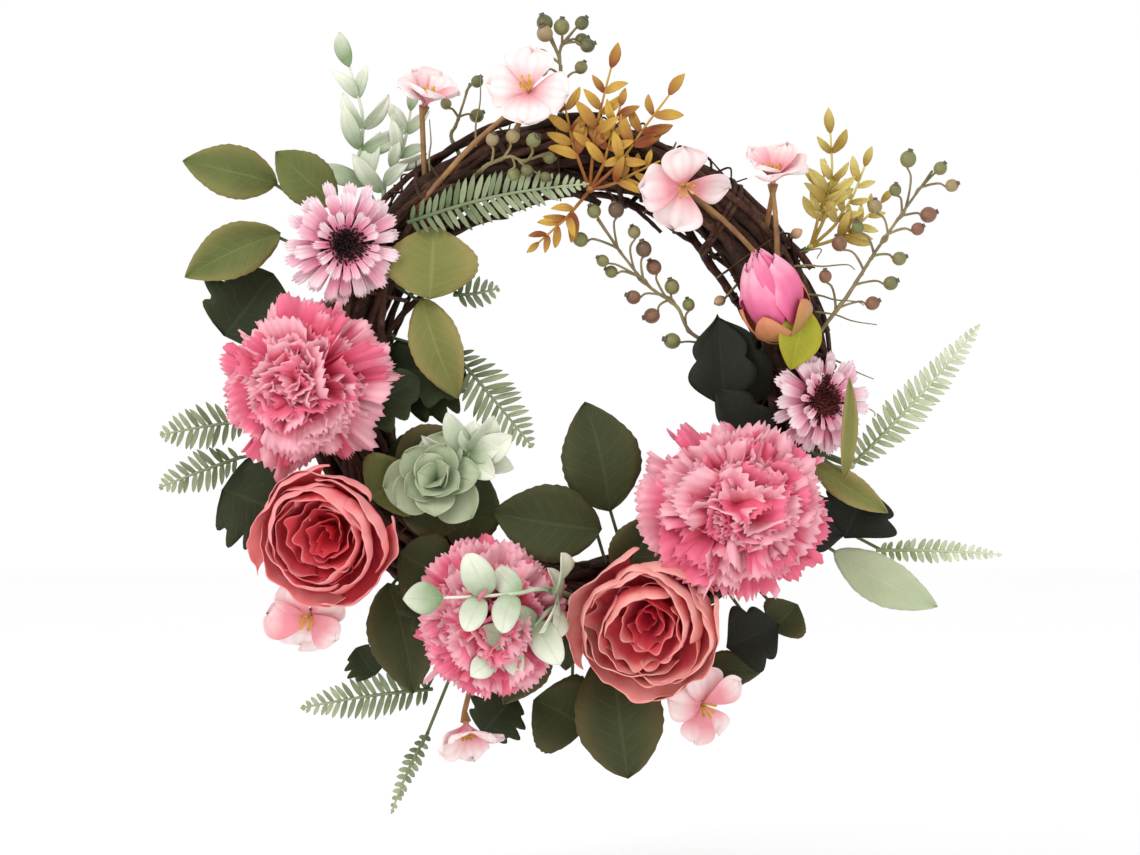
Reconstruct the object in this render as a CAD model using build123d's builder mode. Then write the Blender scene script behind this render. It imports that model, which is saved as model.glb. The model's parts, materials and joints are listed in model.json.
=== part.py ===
"""A wall wreath of fabric flowers and foliage on a ring of bundled vine canes.

Millimetres, +Z up, front towards -Y.  The origin is the point where a hook or nail carries the wreath:
the inside of the bundle at the top of the ring, in the ring's middle plane.

Pieces are placed by clock angle (degrees clockwise from the top, seen from the front), by how far they
stand outside the middle of the bundle (out) and by how far they stand in front of the ring's middle
plane (lift).  Headings in the wreath's plane use the same clock.
"""

import os
from dataclasses import dataclass
from math import cos, radians, sin

from build123d import *

# ---- driving dimensions ---------------------------------------------------------------------------
ring_radius = 106.0  # to the middle of the bundle
cane_radius = 6.1
cane_gap = 0.2  # between neighbouring canes
canes_around = 6
tuck = 7.0  # how deep every pick is pushed into the bundle
wrap_radius = 1.3  # the thin vine that binds the bundle
tie_radius = 0.45  # florist's wire
binding_gap = 0.3
stem_radius = 1.3  # flower stems
nib_radius = 1.1  # the thin end of a stem that carries the petal discs
petiole_radius = 0.8
twig_radius = 0.75  # berry and leaf sprays
ball_radius = 1.6  # foot of a spray that can be bent
frond_tail = 5.0  # bare rachis between the ball and the first pinnae
knuckle = 1.3  # a joint of a moulded stem, as a share of the stem's radius
side_share = 0.85  # side twigs are thinner than the main stem by this
fit_gap = 0.25  # between a nib and the discs threaded on it, a seed and its stalk
cup_room = 0.3  # more of it between nested petal cups, which bulge
cloth = 0.8  # thickness of petals and leaves
carnation_radius = 43.0
rose_radius = 33.0
daisy_radius = 30.0
blossom_radius = 20.0
bud_radius = 17.0
bud_length = 46.0
bud_pitch = 3.2  # between its nested cups
seed_head_radius = 10.5  # middle of a daisy
carnation_calyx = (7.0, 11.0)  # radius and height of the swelling under the petals
rose_calyx = (6.0, 9.0)
daisy_calyx = (5.0, 7.0)
bud_calyx = (5.0, 8.0)
blossom_calyx = (2.6, 5.0)
blossom_nib = 2.0  # how far its nib stands above the petals
WRAP_CLOCKS = (-37, -15, 15, 38, 49, 76, 90, 135, -152, -171, -108, -73)
TIE_CLOCKS = (-33, -3, 24, 55, 87, 145, -132, -85)

# ---- worked out from them -------------------------------------------------------------------------
cane_pitch = 2 * cane_radius + cane_gap
bundle_radius = cane_pitch + cane_radius
cup_step = cloth + fit_gap + cup_room
ring_centre = Vector(0, 0, bundle_radius - ring_radius)
FRONT = Vector(0, -1, 0)


def station(clock, out=0.0, lift=0.0):
    """The point at that clock angle, distance outside the bundle's middle and distance in front."""
    reach = ring_radius + out
    return ring_centre + Vector(reach * sin(radians(clock)), -lift, reach * cos(radians(clock)))


def heading(clock, forward=0.0):
    """A unit vector in the wreath's plane at that clock angle, tipped forward by some degrees."""
    flat = Vector(sin(radians(clock)), 0, cos(radians(clock)))
    return flat * cos(radians(forward)) + FRONT * sin(radians(forward))


def root_of(point, clock):
    """Where a pick from point ends inside the bundle: tuck below its skin, towards its middle."""
    middle = station(clock)
    return middle + (point - middle).normalized() * (bundle_radius - tuck)


def rod(start, end, radius):
    """Adds a straight round rod to the open part."""
    run = end - start
    with BuildSketch(Plane(origin=start, z_dir=run)) as section:
        Circle(radius)
    extrude(section.sketch, amount=run.length)


def polyrod(points, radius):
    """Adds rods along a list of points, with a knuckle where two of them meet."""
    for start, end in zip(points, points[1:]):
        rod(start, end, radius)
    if len(points) > 2:
        with Locations(*points[1:-1]):
            Sphere(radius * knuckle)


def write(part, name):
    part.label = name
    export_step(part, f"parts/{name}.step")


# ---- the ring: seven canes, a vine wound round them and wire ties ---------------------------------
def cane(angle, reach):
    """Adds one closed cane, at that angle and distance round the bundle's middle."""
    level = Vector(0, -reach * sin(radians(angle)), 0)
    with Locations(Location(ring_centre + level)):
        Torus(ring_radius + reach * cos(radians(angle)), cane_radius, rotation=(90, 0, 0))


def binding(clock, thickness):
    """Adds a loop round the whole bundle at that clock angle."""
    with Locations(Plane(origin=station(clock), z_dir=heading(clock + 90))):
        Torus(bundle_radius + binding_gap + thickness, thickness)


def canes(angles):
    with BuildPart() as bundle:
        for angle in angles:
            cane(angle, cane_pitch)
    return bundle.part


def build_ring():
    with BuildPart() as core:
        cane(0, 0)
    write(core.part, "vine_core_cane")
    step = 360 / canes_around
    front = [step * n for n in range(canes_around // 2)]
    write(canes(front), "vine_front_canes")
    write(canes([angle + 180 for angle in front]), "vine_back_canes")
    with BuildPart() as wrap:
        for clock in WRAP_CLOCKS:
            binding(clock, wrap_radius)
    write(wrap.part, "vine_wraps")
    with BuildPart() as ties:
        for clock in TIE_CLOCKS:
            binding(clock, tie_radius)
    write(ties.part, "wire_ties")


# ---- blooms: petal discs threaded on the nib of a stem --------------------------------------------
@dataclass
class Bloom:
    name: str
    clock: float
    out: float
    lift: float  # of the underside of the petals
    lean_to: float  # the clock angle that the bloom leans towards
    lean: float  # degrees from facing straight forward
    radius: float
    root_clock: float = None
    yields_to: tuple = ()

    def base(self):
        return station(self.clock, self.out, self.lift)

    def facing(self):
        return heading(self.lean_to, 90 - self.lean)

    def across(self):
        """A level plane through the base, looking along the bloom's axis."""
        return Plane(origin=self.base(), z_dir=self.facing())

    def profile_plane(self):
        """The plane for half profiles: x is the distance from the bloom's axis, y is height."""
        level = self.across()
        return Plane(origin=self.base(), x_dir=level.x_dir, z_dir=-level.y_dir)

    def axis(self):
        return Axis(self.base(), self.facing())

    def root(self):
        return root_of(self.base(), self.clock if self.root_clock is None else self.root_clock)


def turned(bloom, corners):
    """Adds the solid of revolution of a half profile round the bloom's axis."""
    with BuildSketch(bloom.profile_plane()) as profile:
        with BuildLine():
            Polyline(*corners, close=True)
        make_face()
    revolve(profile.sketch, axis=bloom.axis())


def cone_disc(bloom, height, slope, slant):
    """Adds one cone-shaped petal disc and returns the height of its top face at the nib."""
    hole = nib_radius + fit_gap
    rise = cloth / cos(radians(slope))
    run_x, run_y = slant * cos(radians(slope)), slant * sin(radians(slope))
    corners = [(hole, height), (hole + run_x, height + run_y)]
    corners += [(hole + run_x, height + run_y + rise), (hole, height + rise)]
    turned(bloom, corners)
    return height + rise


def cup_disc(bloom, height, belly, belly_height, rim, rim_height):
    """Adds one cup of petals, level at the nib, widest at its belly and open at its rim."""
    hole = nib_radius + fit_gap
    out, up = (1, 0), (rim - belly, rim_height - belly_height)
    with BuildSketch(bloom.profile_plane()) as profile:
        with BuildLine():
            outer = [(hole, height), (belly, belly_height), (rim, rim_height)]
            inner = [(hole, height + cloth), (belly - cloth, belly_height), (rim - cloth, rim_height)]
            outside = Spline(*outer, tangents=[out, up])
            inside = Spline(*inner, tangents=[out, up])
            Line(outside @ 0, inside @ 0)
            Line(outside @ 1, inside @ 1)
        make_face()
    revolve(profile.sketch, axis=bloom.axis())


def give_way(part, bloom, blooms):
    """Cuts the petals back from the blooms that press on them, by the room that those take."""
    for other in blooms:
        if other.name in bloom.yields_to:
            with BuildPart() as room:
                room_for(other, other.radius + 2 * cloth)
            part = part - room.part
    return part


def room_for(bloom, reach):
    """Adds the room that a bloom takes: a shallow cone, a straight wall and a tapered top."""
    wall = [(reach, reach * 0.15), (reach, reach * 0.55), (reach * 0.7, reach)]
    turned(bloom, [(0, -3)] + wall + [(0, reach * 1.12)])


def stem_part(bloom, nib_length, calyx_radius, calyx_height):
    """The moulded stem: root pushed into the bundle, calyx under the petals, nib through them."""
    top = bloom.base() - bloom.facing() * (calyx_height + fit_gap)
    with BuildPart() as stem:
        rod(bloom.root(), top, stem_radius)
        calyx = [(0, -calyx_height - fit_gap), (stem_radius, -calyx_height - fit_gap)]
        calyx += [(calyx_radius, -fit_gap), (nib_radius, -fit_gap), (nib_radius, nib_length)]
        turned(bloom, calyx + [(0, nib_length)])
    return stem.part


def carnation_petals(bloom, slopes=(14, 30, 46, 60, 72)):
    with BuildPart() as petals:
        height = 0.0
        for n, slope in enumerate(slopes):
            height = cone_disc(bloom, height, slope, bloom.radius * (1 - 0.045 * n)) + fit_gap
    return petals.part, height


def rose_petals(bloom, cups=5):
    pitch = bloom.radius / (cups + 1)
    with BuildPart() as petals:
        for n in range(cups):
            belly = bloom.radius - n * pitch
            start = n * cup_step
            belly_height = start + bloom.radius * 0.52
            rim_height = bloom.radius * (0.92 + 0.03 * n)
            cup_disc(bloom, start, belly, belly_height, belly * 0.86, rim_height)
    return petals.part, cups * cup_step


def ray_disc(bloom, height, radius, count, turn):
    """Adds a flat disc of narrow ray petals round a small hub."""
    level = bloom.across()
    start = level.x_dir.rotate(Axis((0, 0, 0), level.z_dir), turn)
    plane = Plane(origin=level.origin + level.z_dir * height, x_dir=start, z_dir=level.z_dir)
    inner = seed_head_radius * 0.6
    with BuildSketch(plane) as rays:
        with PolarLocations((inner + radius) / 2, count):
            Ellipse((radius - inner) / 2, radius * 2.2 / count)
        Circle(inner + radius * 0.2)
        Circle(nib_radius + fit_gap, mode=Mode.SUBTRACT)
    extrude(rays.sketch, amount=cloth)


def build_carnation(bloom, blooms):
    petals, top = carnation_petals(bloom)
    write(give_way(petals, bloom, blooms), f"{bloom.name}_petals")
    write(stem_part(bloom, top, *carnation_calyx), f"{bloom.name}_stem")


def build_rose(bloom, blooms):
    petals, top = rose_petals(bloom)
    write(give_way(petals, bloom, blooms), f"{bloom.name}_petals")
    write(stem_part(bloom, top, *rose_calyx), f"{bloom.name}_stem")


def build_daisy(bloom):
    rise = cloth + fit_gap
    with BuildPart() as rays:
        ray_disc(bloom, 0, bloom.radius, 18, 0)
        ray_disc(bloom, rise, bloom.radius * 0.9, 18, 10)
    write(rays.part, f"{bloom.name}_rays")
    seat = 2 * rise
    crown = seat + 5.0
    hole = nib_radius + fit_gap
    shoulder = seat + 2.5
    cap = (seed_head_radius**2 + (crown - shoulder) ** 2) / (2 * (crown - shoulder))
    with BuildPart() as disc:
        with BuildSketch(bloom.profile_plane()) as profile:
            with BuildLine():
                Polyline((0, crown), (0, seat + 2), (hole, seat + 2), (hole, seat),
                         (seed_head_radius, seat), (seed_head_radius, shoulder))
                RadiusArc((seed_head_radius, shoulder), (0, crown), -cap)
            make_face()
        revolve(profile.sketch, axis=bloom.axis())
    write(disc.part, f"{bloom.name}_disc")
    write(stem_part(bloom, seat + 2 - fit_gap, *daisy_calyx), f"{bloom.name}_stem")


def build_bud(bloom, shells=3):
    with BuildPart() as petals:
        for n in range(shells):
            belly = bloom.radius - n * bud_pitch
            rim_height = bud_length * (0.97 - 0.05 * n)
            cup_disc(bloom, n * cup_step, belly, bud_length * 0.42, belly * 0.42, rim_height)
    write(petals.part, f"{bloom.name}_petals")
    write(stem_part(bloom, shells * cup_step, *bud_calyx), f"{bloom.name}_stem")


def build_blossom(bloom, petals=5):
    with BuildPart() as whorl:
        with BuildSketch(bloom.across()) as outline:
            with PolarLocations(bloom.radius * 0.55, petals):
                Ellipse(bloom.radius * 0.45, bloom.radius * 0.36)
            Circle(bloom.radius * 0.3)
            Circle(nib_radius + fit_gap, mode=Mode.SUBTRACT)
        extrude(outline.sketch, amount=cloth)
    write(whorl.part, f"{bloom.name}_petals")
    return stem_part(bloom, cloth + blossom_nib, *blossom_calyx)


# ---- flat blades: fabric leaves on wire petioles --------------------------------------------------
@dataclass
class Blade:
    clock: float
    out: float
    lift: float
    points_to: float  # clock angle from base to tip
    length: float
    width: float
    forward: float = 0.0  # degrees that the tip stands forward
    roll: float = 0.0
    root_clock: float = None

    def plane(self):
        """x runs from base to tip, z is the leaf's upper face."""
        along = heading(self.points_to, self.forward)
        face = heading(self.points_to, self.forward + 90)
        upper = face.rotate(Axis((0, 0, 0), along), self.roll)
        return Plane(origin=station(self.clock, self.out, self.lift), x_dir=along, z_dir=upper)

    def ball(self):
        """The ball of a posable frond, behind the foot of its rachis."""
        plane = self.plane()
        return plane.origin - plane.x_dir * frond_tail + plane.z_dir * cloth / 2

    def petiole_start(self):
        """Just inside the base of the blade, on the side of it that faces the bundle's middle plane."""
        base = self.plane()
        room = petiole_radius + fit_gap
        return base.origin + base.x_dir * 3.0 + base.z_dir * (cloth + room if self.lift < 0 else -room)

    def root(self):
        clock = self.clock if self.root_clock is None else self.root_clock
        return root_of(self.petiole_start(), clock)


def blade_outline(length, width):
    """Draws a leaf, broad near its base and pointed at its tip, in the open sketch."""
    belly = length * 0.4
    with BuildLine() as edge:
        upper = Spline((0, 0), (belly, width / 2), (length, 0), tangents=[(0.5, 1), (1, -0.45)])
        mirror(upper, about=Plane.XZ)
    make_face(edge.edges())


def build_blades(name, blades):
    with BuildPart() as leaves:
        for blade in blades:
            with BuildSketch(blade.plane()) as outline:
                blade_outline(blade.length, blade.width)
            extrude(outline.sketch, amount=cloth)
    write(leaves.part, name)


def build_petioles(name, blades):
    with BuildPart() as stems:
        for blade in blades:
            polyrod([blade.root(), blade.petiole_start()], petiole_radius)
    write(stems.part, name)


# ---- sprays: thin branching stems that carry seeds or small leaves --------------------------------
@dataclass
class Spray:
    """A main stem of equal lengths with a pair of side twigs at every joint between them."""

    clock: float
    out: float
    lift: float
    points_to: float  # clock angle of the first length of the main stem
    length: float
    pairs: int
    side: float  # length of the side twigs, or of the leaves
    forward: float = 0.0  # degrees that the stem stands forward
    bend: float = 0.0  # degrees that it turns clockwise over its length
    splay: float = 42.0  # degrees between a side twig and the main stem
    size: float = 4.0  # seed radius, or half the width of a leaf
    bare: float = 0.2  # share of the stem below the first pair
    root_clock: float = None

    def foot(self):
        return station(self.clock, self.out, self.lift)

    def root(self):
        return root_of(self.foot(), self.clock if self.root_clock is None else self.root_clock)

    def turn(self, share):
        return self.points_to + self.bend * share

    def main(self):
        """Points along the main stem: the foot, the joints that carry the pairs, and the tip."""
        points = [self.foot()]
        shares = [self.bare + (1 - self.bare) * n / self.pairs for n in range(self.pairs + 1)]
        before = 0.0
        for share in shares:
            way = heading(self.turn(share), self.forward)
            points.append(points[-1] + way * self.length * (share - before))
            before = share
        return points

    def sides(self):
        """Start and direction of every side twig or leaf."""
        found = []
        for n, start in enumerate(self.main()[1:-1]):
            share = n / self.pairs
            for side in (1, -1):
                tip_forward = self.forward + (14 if (n % 2) == (side > 0) else -8)
                way = heading(self.turn(share) + side * self.splay, tip_forward)
                found.append((start, way, self.side * (1 - 0.35 * share)))
        return found

    def seeds(self):
        """Middle of every seed: at the ends of the side twigs and of the main stem."""
        reach = fit_gap + self.size
        ends = [(start + way * run, way) for start, way, run in self.sides()]
        before, tip = self.main()[-2:]
        ends.append((tip, (tip - before).normalized()))
        return [end + way * reach for end, way in ends]


def main_stem(spray, posable):
    """Adds a main stem.  A posable one begins in a ball at the foot and its root is a separate stub."""
    points = spray.main()
    if posable:
        with Locations(points[0]):
            Sphere(ball_radius)
    else:
        points = [spray.root()] + points
    polyrod(points, twig_radius)


def spray_stems(sprays, posable):
    with BuildPart() as stems:
        for spray in sprays:
            main_stem(spray, posable)
            for start, way, run in spray.sides():
                rod(start, start + way * run, twig_radius * side_share)
    return stems.part


def build_seeds(name, sprays):
    with BuildPart() as seeds:
        for spray in sprays:
            with Locations(*spray.seeds()):
                Sphere(spray.size)
    write(seeds.part, name)


def build_berries(name, sprays, posable=False):
    write(spray_stems(sprays, posable), f"{name}_stems")
    build_seeds(f"{name}_fruit", sprays)


def build_leafy(name, sprays, posable=False):
    """A spray moulded in one with its small leaves."""
    with BuildPart() as piece:
        for spray in sprays:
            main_stem(spray, posable)
            for start, way, run in spray.sides():
                middle = start + way * (run - twig_radius) / 2
                level = Plane(origin=middle, x_dir=way, z_dir=facing_from(way))
                with BuildSketch(level.offset(-cloth / 2)) as leaf:
                    Ellipse(run / 2, spray.size)
                extrude(leaf.sketch, amount=cloth)
    write(piece.part, name)


def facing_from(way):
    """The most forward direction square to a run."""
    return (FRONT - way * FRONT.dot(way)).normalized()


def build_stubs(name, springs):
    """The fixed roots of the posable sprays: each ends just short of its spray's ball."""
    with BuildPart() as stubs:
        for foot, root in springs:
            run = foot - root
            with BuildSketch(Plane(origin=root, z_dir=run)) as section:
                Circle(ball_radius)
            extrude(section.sketch, amount=run.length - ball_radius - fit_gap)
    write(stubs.part, name)


def frond_sketch(length, width, pairs, tail=0.0):
    """Draws a rachis with pairs of narrow pinnae that shorten towards the tip, in the open sketch."""
    pitch = length / (pairs + 1)
    with Locations(((length - tail) / 2, 0)):
        Rectangle(length + tail, 2.6 * twig_radius)
    for n in range(pairs):
        along = pitch * (n + 1)
        reach = width / 2 * (1 - 0.75 * (n / pairs) ** 1.6)
        for side in (1, -1):
            with Locations(Location((along + reach * 0.12, side * reach / 2, 0), side * 76)):
                Ellipse(reach / 2, pitch * 0.36)


def build_fronds(name, fronds, posable=False):
    with BuildPart() as leaves:
        for blade in fronds:
            pairs = max(6, round(blade.length / 5))
            with BuildSketch(blade.plane()) as outline:
                frond_sketch(blade.length, blade.width, pairs, frond_tail if posable else 0.0)
            extrude(outline.sketch, amount=cloth)
            if posable:
                with Locations(Plane(origin=blade.ball(), z_dir=blade.plane().x_dir)):
                    Sphere(ball_radius)
    write(leaves.part, name)


CARNATIONS = [
    Bloom("carnation_left", -91, 16, 30, -91, 14, carnation_radius),
    Bloom("carnation_bottom", -162, 9, 27, -162, 14, carnation_radius * 0.95, yields_to=("rose_right",)),
    Bloom("carnation_right", 129, -9, 46, 60, 12, carnation_radius * 1.08),
]
ROSES = [
    Bloom("rose_left", -122, 25, 27, -130, 16, rose_radius, yields_to=("carnation_left",)),
    Bloom("rose_right", 159, 9, 29, 215, 22, rose_radius * 1.06, yields_to=("carnation_right",)),
]
DAISIES = [
    Bloom("daisy_left", -59, 18, 36, 110, 20, daisy_radius),
    Bloom("daisy_right", 95, 12, 31, 80, 32, daisy_radius * 0.92),
]
BUD = Bloom("rosebud", 78, -2, 34, -22, 62, bud_radius)
BLOSSOMS = [
    Bloom("blossom_top_left", -28, 42, 14, 15, 62, blossom_radius, root_clock=-41),
    Bloom("blossom_top", -8, 31, 30, -20, 30, blossom_radius, root_clock=-20),
    Bloom("blossom_upper_right", 30, 0, 34, 150, 22, blossom_radius * 1.05, root_clock=52),
    Bloom("blossom_right", 46, 28, 20, 0, 66, blossom_radius, root_clock=59),
    Bloom("blossom_lower_left", -132, 60, 14, -150, 30, blossom_radius, root_clock=-127),
    Bloom("blossom_bottom", -163, 64, 16, 172, 62, blossom_radius, root_clock=-160),
    Bloom("blossom_lower_right", 158, 60, 18, 120, 32, blossom_radius, root_clock=163),
]
LEAVES = {
    "leaves_upper_left": [
        Blade(-56, 63, 8, -77, 46, 25, 10),
        Blade(-63, 49, 14, -115, 50, 25, 6),
        Blade(-53, 34, 12, -49, 38, 24, 4),
    ],
    "leaves_inner_left": [
        Blade(-56, -5, 22.5, 92, 40, 35, 4),
        Blade(-61, -25, 14, 160, 51, 24, 4),
        Blade(-128, -9, 21.5, -37, 31, 24, 0),
    ],
    "leaves_centre": [
        Blade(163, -41, 24, -13, 53, 37, 4),
        Blade(168, -34, 32, -81, 52, 36, 4),
    ],
    "leaves_lower_left": [
        Blade(-141, -9, 22, -153, 31, 29, 0),
        Blade(-138, 24, 14, 167, 54, 32, 4),
    ],
    "leaves_bottom": [
        Blade(174, 39, 13, 160, 48, 32, 8),
        Blade(179, 40, 6, -151, 36, 28, 4),
        Blade(176, 22, 15, 128, 44, 22, 0),
        Blade(-178, -8, 23.5, 178, 40, 24, 0),
    ],
    "leaves_right": [
        Blade(109, 15, 24, 123, 43, 14, 6),
        Blade(110, 31, 42, 3, 48, 6, 0, root_clock=104),
        Blade(123, 44, 12, 118, 56, 22, 6),
        Blade(138, 38, 4, 133, 22, 17, 4),
        Blade(155, 43, 6, 99, 29, 17, 4),
    ],
    "dark_leaves_left": [
        Blade(-80, 35, 4, -52, 42, 38, 4),
        Blade(-106, 44, -6, -156, 44, 34, 4),
        Blade(-78, -28, -6, 152, 40, 34, 3),
        Blade(-164, 53, -9, 132, 28, 24, 3),
        Blade(-145, 52, 4, -126, 20, 16, 4),
    ],
    "dark_leaves_right": [
        Blade(101, -30, 21, -6, 46, 34, 4),
        Blade(115, 27, 14, 111, 39, 28, 6),
        Blade(143, 30, 14, 157, 32, 28, 4),
    ],
}
FRONDS = {
    "fern_top": [Blade(-46, 1, 27, 78, 88, 24, 2)],
    "ferns_inner": [Blade(-54, -37, 4, 79, 22, 15, 4), Blade(-76, -48, 12, 140, 60, 26, 2)],
    "ferns_left": [
        Blade(-97, 50, 6, -100, 42, 22, 4),
        Blade(-103, 56, 3, -111, 42, 20, 4),
        Blade(-156, 56, 3, -98, 64, 22, 4),
    ],
    "fern_bottom": [Blade(-158, 76, 3, -156, 43, 9, 0)],
    "fern_tip_right": [Blade(119, 62, 4, 92, 60, 12, 2)],
}
POSABLE_FROND = Blade(105, 37, 8, 42, 86, 20, 4)
BERRIES = {
    "berries_ring": [
        Spray(-26, 3, 29, 64, 38, 3, 9, 8, bend=22, size=3.6),
        Spray(-26, 25, -10, 20, 28, 1, 8, 0, size=3.6),
    ],
}
POSABLE_BERRIES = {
    "berries_top": Spray(-2, 24, 8, 0, 36, 4, 13, 8),
    "berries_inner": Spray(81, -25, 10, -62, 94, 6, 14, 6, bend=28),
    "berries_right": Spray(83, 6, 26, 35, 104, 6, 16, 4),
}
LEAFY = {
    "eucalyptus_top": [Spray(-50, 30, -6, 8, 60, 4, 26, 0, splay=32, size=4.5)],
    "eucalyptus_centre": [Spray(-136, -26, 6, 11, 46, 3, 22, 18, splay=62, size=9)],
    "eucalyptus_bottom": [Spray(178, -11, 71, -84, 60, 3, 21, 0, splay=58, size=8, root_clock=177)],
    "gold_spray_top": [Spray(6, -16, 25, 5, 58, 6, 15, 4, splay=48, size=3)],
}
POSABLE_LEAFY = {
    "gold_spray_right": Spray(61, 26, 4, 18, 54, 6, 15, 4, splay=46, size=3),
}


def build_flowers():
    for bloom in CARNATIONS:
        build_carnation(bloom, CARNATIONS + ROSES)
    for bloom in ROSES:
        build_rose(bloom, CARNATIONS + ROSES)
    for bloom in DAISIES:
        build_daisy(bloom)
    build_bud(BUD)
    with BuildPart() as stems:
        for stem in [build_blossom(bloom) for bloom in BLOSSOMS]:
            add(stem)
    write(stems.part, "blossom_stems")


def build_foliage():
    for name, blades in LEAVES.items():
        build_blades(name, blades)
    for name, fronds in FRONDS.items():
        build_fronds(name, fronds)
    build_fronds("fern_right", [POSABLE_FROND], posable=True)
    wired = [blade for group in (LEAVES, FRONDS) for blades in group.values() for blade in blades]
    build_petioles("leaf_wires", wired)
    for name, sprays in LEAFY.items():
        build_leafy(name, sprays)
    for name, sprays in BERRIES.items():
        build_berries(name, sprays)


def build_posable_sprays():
    for name, spray in POSABLE_BERRIES.items():
        build_berries(name, [spray], posable=True)
    for name, spray in POSABLE_LEAFY.items():
        build_leafy(name, [spray], posable=True)
    posable = list(POSABLE_BERRIES.values()) + list(POSABLE_LEAFY.values())
    springs = [(spray.foot(), spray.root()) for spray in posable]
    frond = POSABLE_FROND.ball()
    build_stubs("spray_roots", springs + [(frond, root_of(frond, POSABLE_FROND.clock))])


os.makedirs("parts", exist_ok=True)
build_ring()
build_flowers()
build_foliage()
build_posable_sprays()
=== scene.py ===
"""A wall wreath of fabric flowers on a ring of vine twigs, dressed around its CAD frame.

Every length is in metres.  Places, directions and sizes are read from the CAD nodes: a flower head's
axis and radius, a leaf's foot and tip, a spray's centre line and its berries.
"""

import json
from math import atan2, cos, pi, radians, sin, sqrt

import bpy
import numpy as np
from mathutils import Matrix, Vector


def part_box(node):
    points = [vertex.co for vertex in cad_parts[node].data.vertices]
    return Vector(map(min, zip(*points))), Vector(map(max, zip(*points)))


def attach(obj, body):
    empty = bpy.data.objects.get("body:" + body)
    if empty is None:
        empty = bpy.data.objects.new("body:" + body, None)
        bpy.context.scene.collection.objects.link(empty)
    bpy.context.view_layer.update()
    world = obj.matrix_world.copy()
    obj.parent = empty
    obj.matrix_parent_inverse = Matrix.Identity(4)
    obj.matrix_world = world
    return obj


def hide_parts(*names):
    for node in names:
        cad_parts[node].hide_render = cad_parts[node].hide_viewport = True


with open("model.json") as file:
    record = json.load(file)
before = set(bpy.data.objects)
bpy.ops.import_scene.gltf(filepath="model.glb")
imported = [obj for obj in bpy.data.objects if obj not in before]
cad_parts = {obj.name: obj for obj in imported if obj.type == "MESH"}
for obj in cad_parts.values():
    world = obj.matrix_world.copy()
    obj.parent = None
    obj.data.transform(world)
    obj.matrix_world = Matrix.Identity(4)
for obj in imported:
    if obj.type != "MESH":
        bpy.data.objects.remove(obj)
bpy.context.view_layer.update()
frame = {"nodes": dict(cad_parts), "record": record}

MM = 0.001
SEED = 7
GOLDEN_ANGLE = 2.39996  # from one petal of a spiral to the next
ANY_PHASE = 6.28  # random phases lie between 0 and this
PETAL_CLOTH = 0.3 * MM
STIFF_CLOTH = 0.35 * MM
LEAF_CLOTH = 0.4 * MM
BALL = 1.6 * MM  # radius of the ball that a posable spray turns on
FRONT = np.array((0.0, -1.0, 0.0))
UP = np.array((0.0, 0.0, 1.0))
BODIES = frame["record"]["behaviour"]["bodies"]
BODY_OF = {node: name for name, nodes in BODIES.items() for node in nodes}


# ---- reading the frame -------------------------------------------
def unit(v):
    return np.asarray(v, float) / max(np.linalg.norm(v), 1e-12)


def cad_points(node):
    return np.array([v.co for v in frame["nodes"][node].data.vertices], float)


def islands(node):
    """The node's separate solids, as arrays of points, in a fixed order from left to right."""
    mesh = frame["nodes"][node].data
    points = cad_points(node)
    # faces may repeat their points, so equal points are joined before the edges are followed
    keys = {}
    owner = np.array([keys.setdefault(tuple(np.round(p, 6)), len(keys)) for p in points])
    parent = list(range(len(keys)))

    def find(x):
        while parent[x] != x:
            parent[x] = parent[parent[x]]
            x = parent[x]
        return x

    for edge in mesh.edges:
        a, b = (find(owner[v]) for v in edge.vertices)
        parent[a] = b
    groups = {}
    for index, key in enumerate(owner):
        groups.setdefault(find(key), []).append(index)
    found = [points[group] for group in groups.values()]
    return sorted(found, key=lambda p: (round(p[:, 0].mean(), 4), round(p[:, 2].mean(), 4)))


def principal(points):
    """The middle of some points and their directions of spread, from the widest to the thinnest."""
    single = np.unique(np.round(points, 5), axis=0)
    middle = single.mean(0)
    values, vectors = np.linalg.eigh(np.cov((single - middle).T))
    return middle, vectors[:, np.argsort(values)[::-1]].T


def off_axis(points, origin, axis):
    """Each point's distance from a line."""
    run = points - origin
    return np.linalg.norm(run - np.outer(run @ axis, axis), axis=1)


core = cad_points("vine_core_cane")
RING_CENTRE = (core.min(0) + core.max(0)) / 2
RING_RADIUS = np.ptp(core[:, 0]) / 2 - np.ptp(core[:, 1]) / 2
BUNDLE = np.ptp(cad_points("vine_front_canes")[:, 0]) / 2 - RING_RADIUS


def nearest_on_ring(point):
    """The middle of the bundle nearest to a point."""
    flat = (point - RING_CENTRE) * (1, 0, 1)
    return RING_CENTRE + unit(flat) * RING_RADIUS


def on_ring(clock, out, lift):
    """A point at a clock angle (radians from the top, clockwise seen from the front), out from the
    bundle's middle and lift towards the front."""
    reach = RING_RADIUS + out
    return RING_CENTRE + np.array((sin(clock) * reach, -lift, cos(clock) * reach))


def ring_line(clocks, outs, lifts):
    """The points on_ring at the clock angles, outs and lifts, as a line."""
    spots = zip(*np.broadcast_arrays(clocks, outs, lifts))
    return np.array([on_ring(*spot) for spot in spots])


def head_pose(name):
    """Base, axis, radius and height of a flower head, from its petals."""
    petals = cad_points(name + "_petals")
    middle, axes = principal(petals)
    axis = axes[2]
    if axis @ (middle - nearest_on_ring(middle)) + 0.3 * axis @ FRONT < 0:
        axis = -axis
    along = (petals - middle) @ axis
    base = middle + axis * along.min()
    return base, axis, np.percentile(off_axis(petals, base, axis), 99.5), np.ptp(along)


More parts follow.
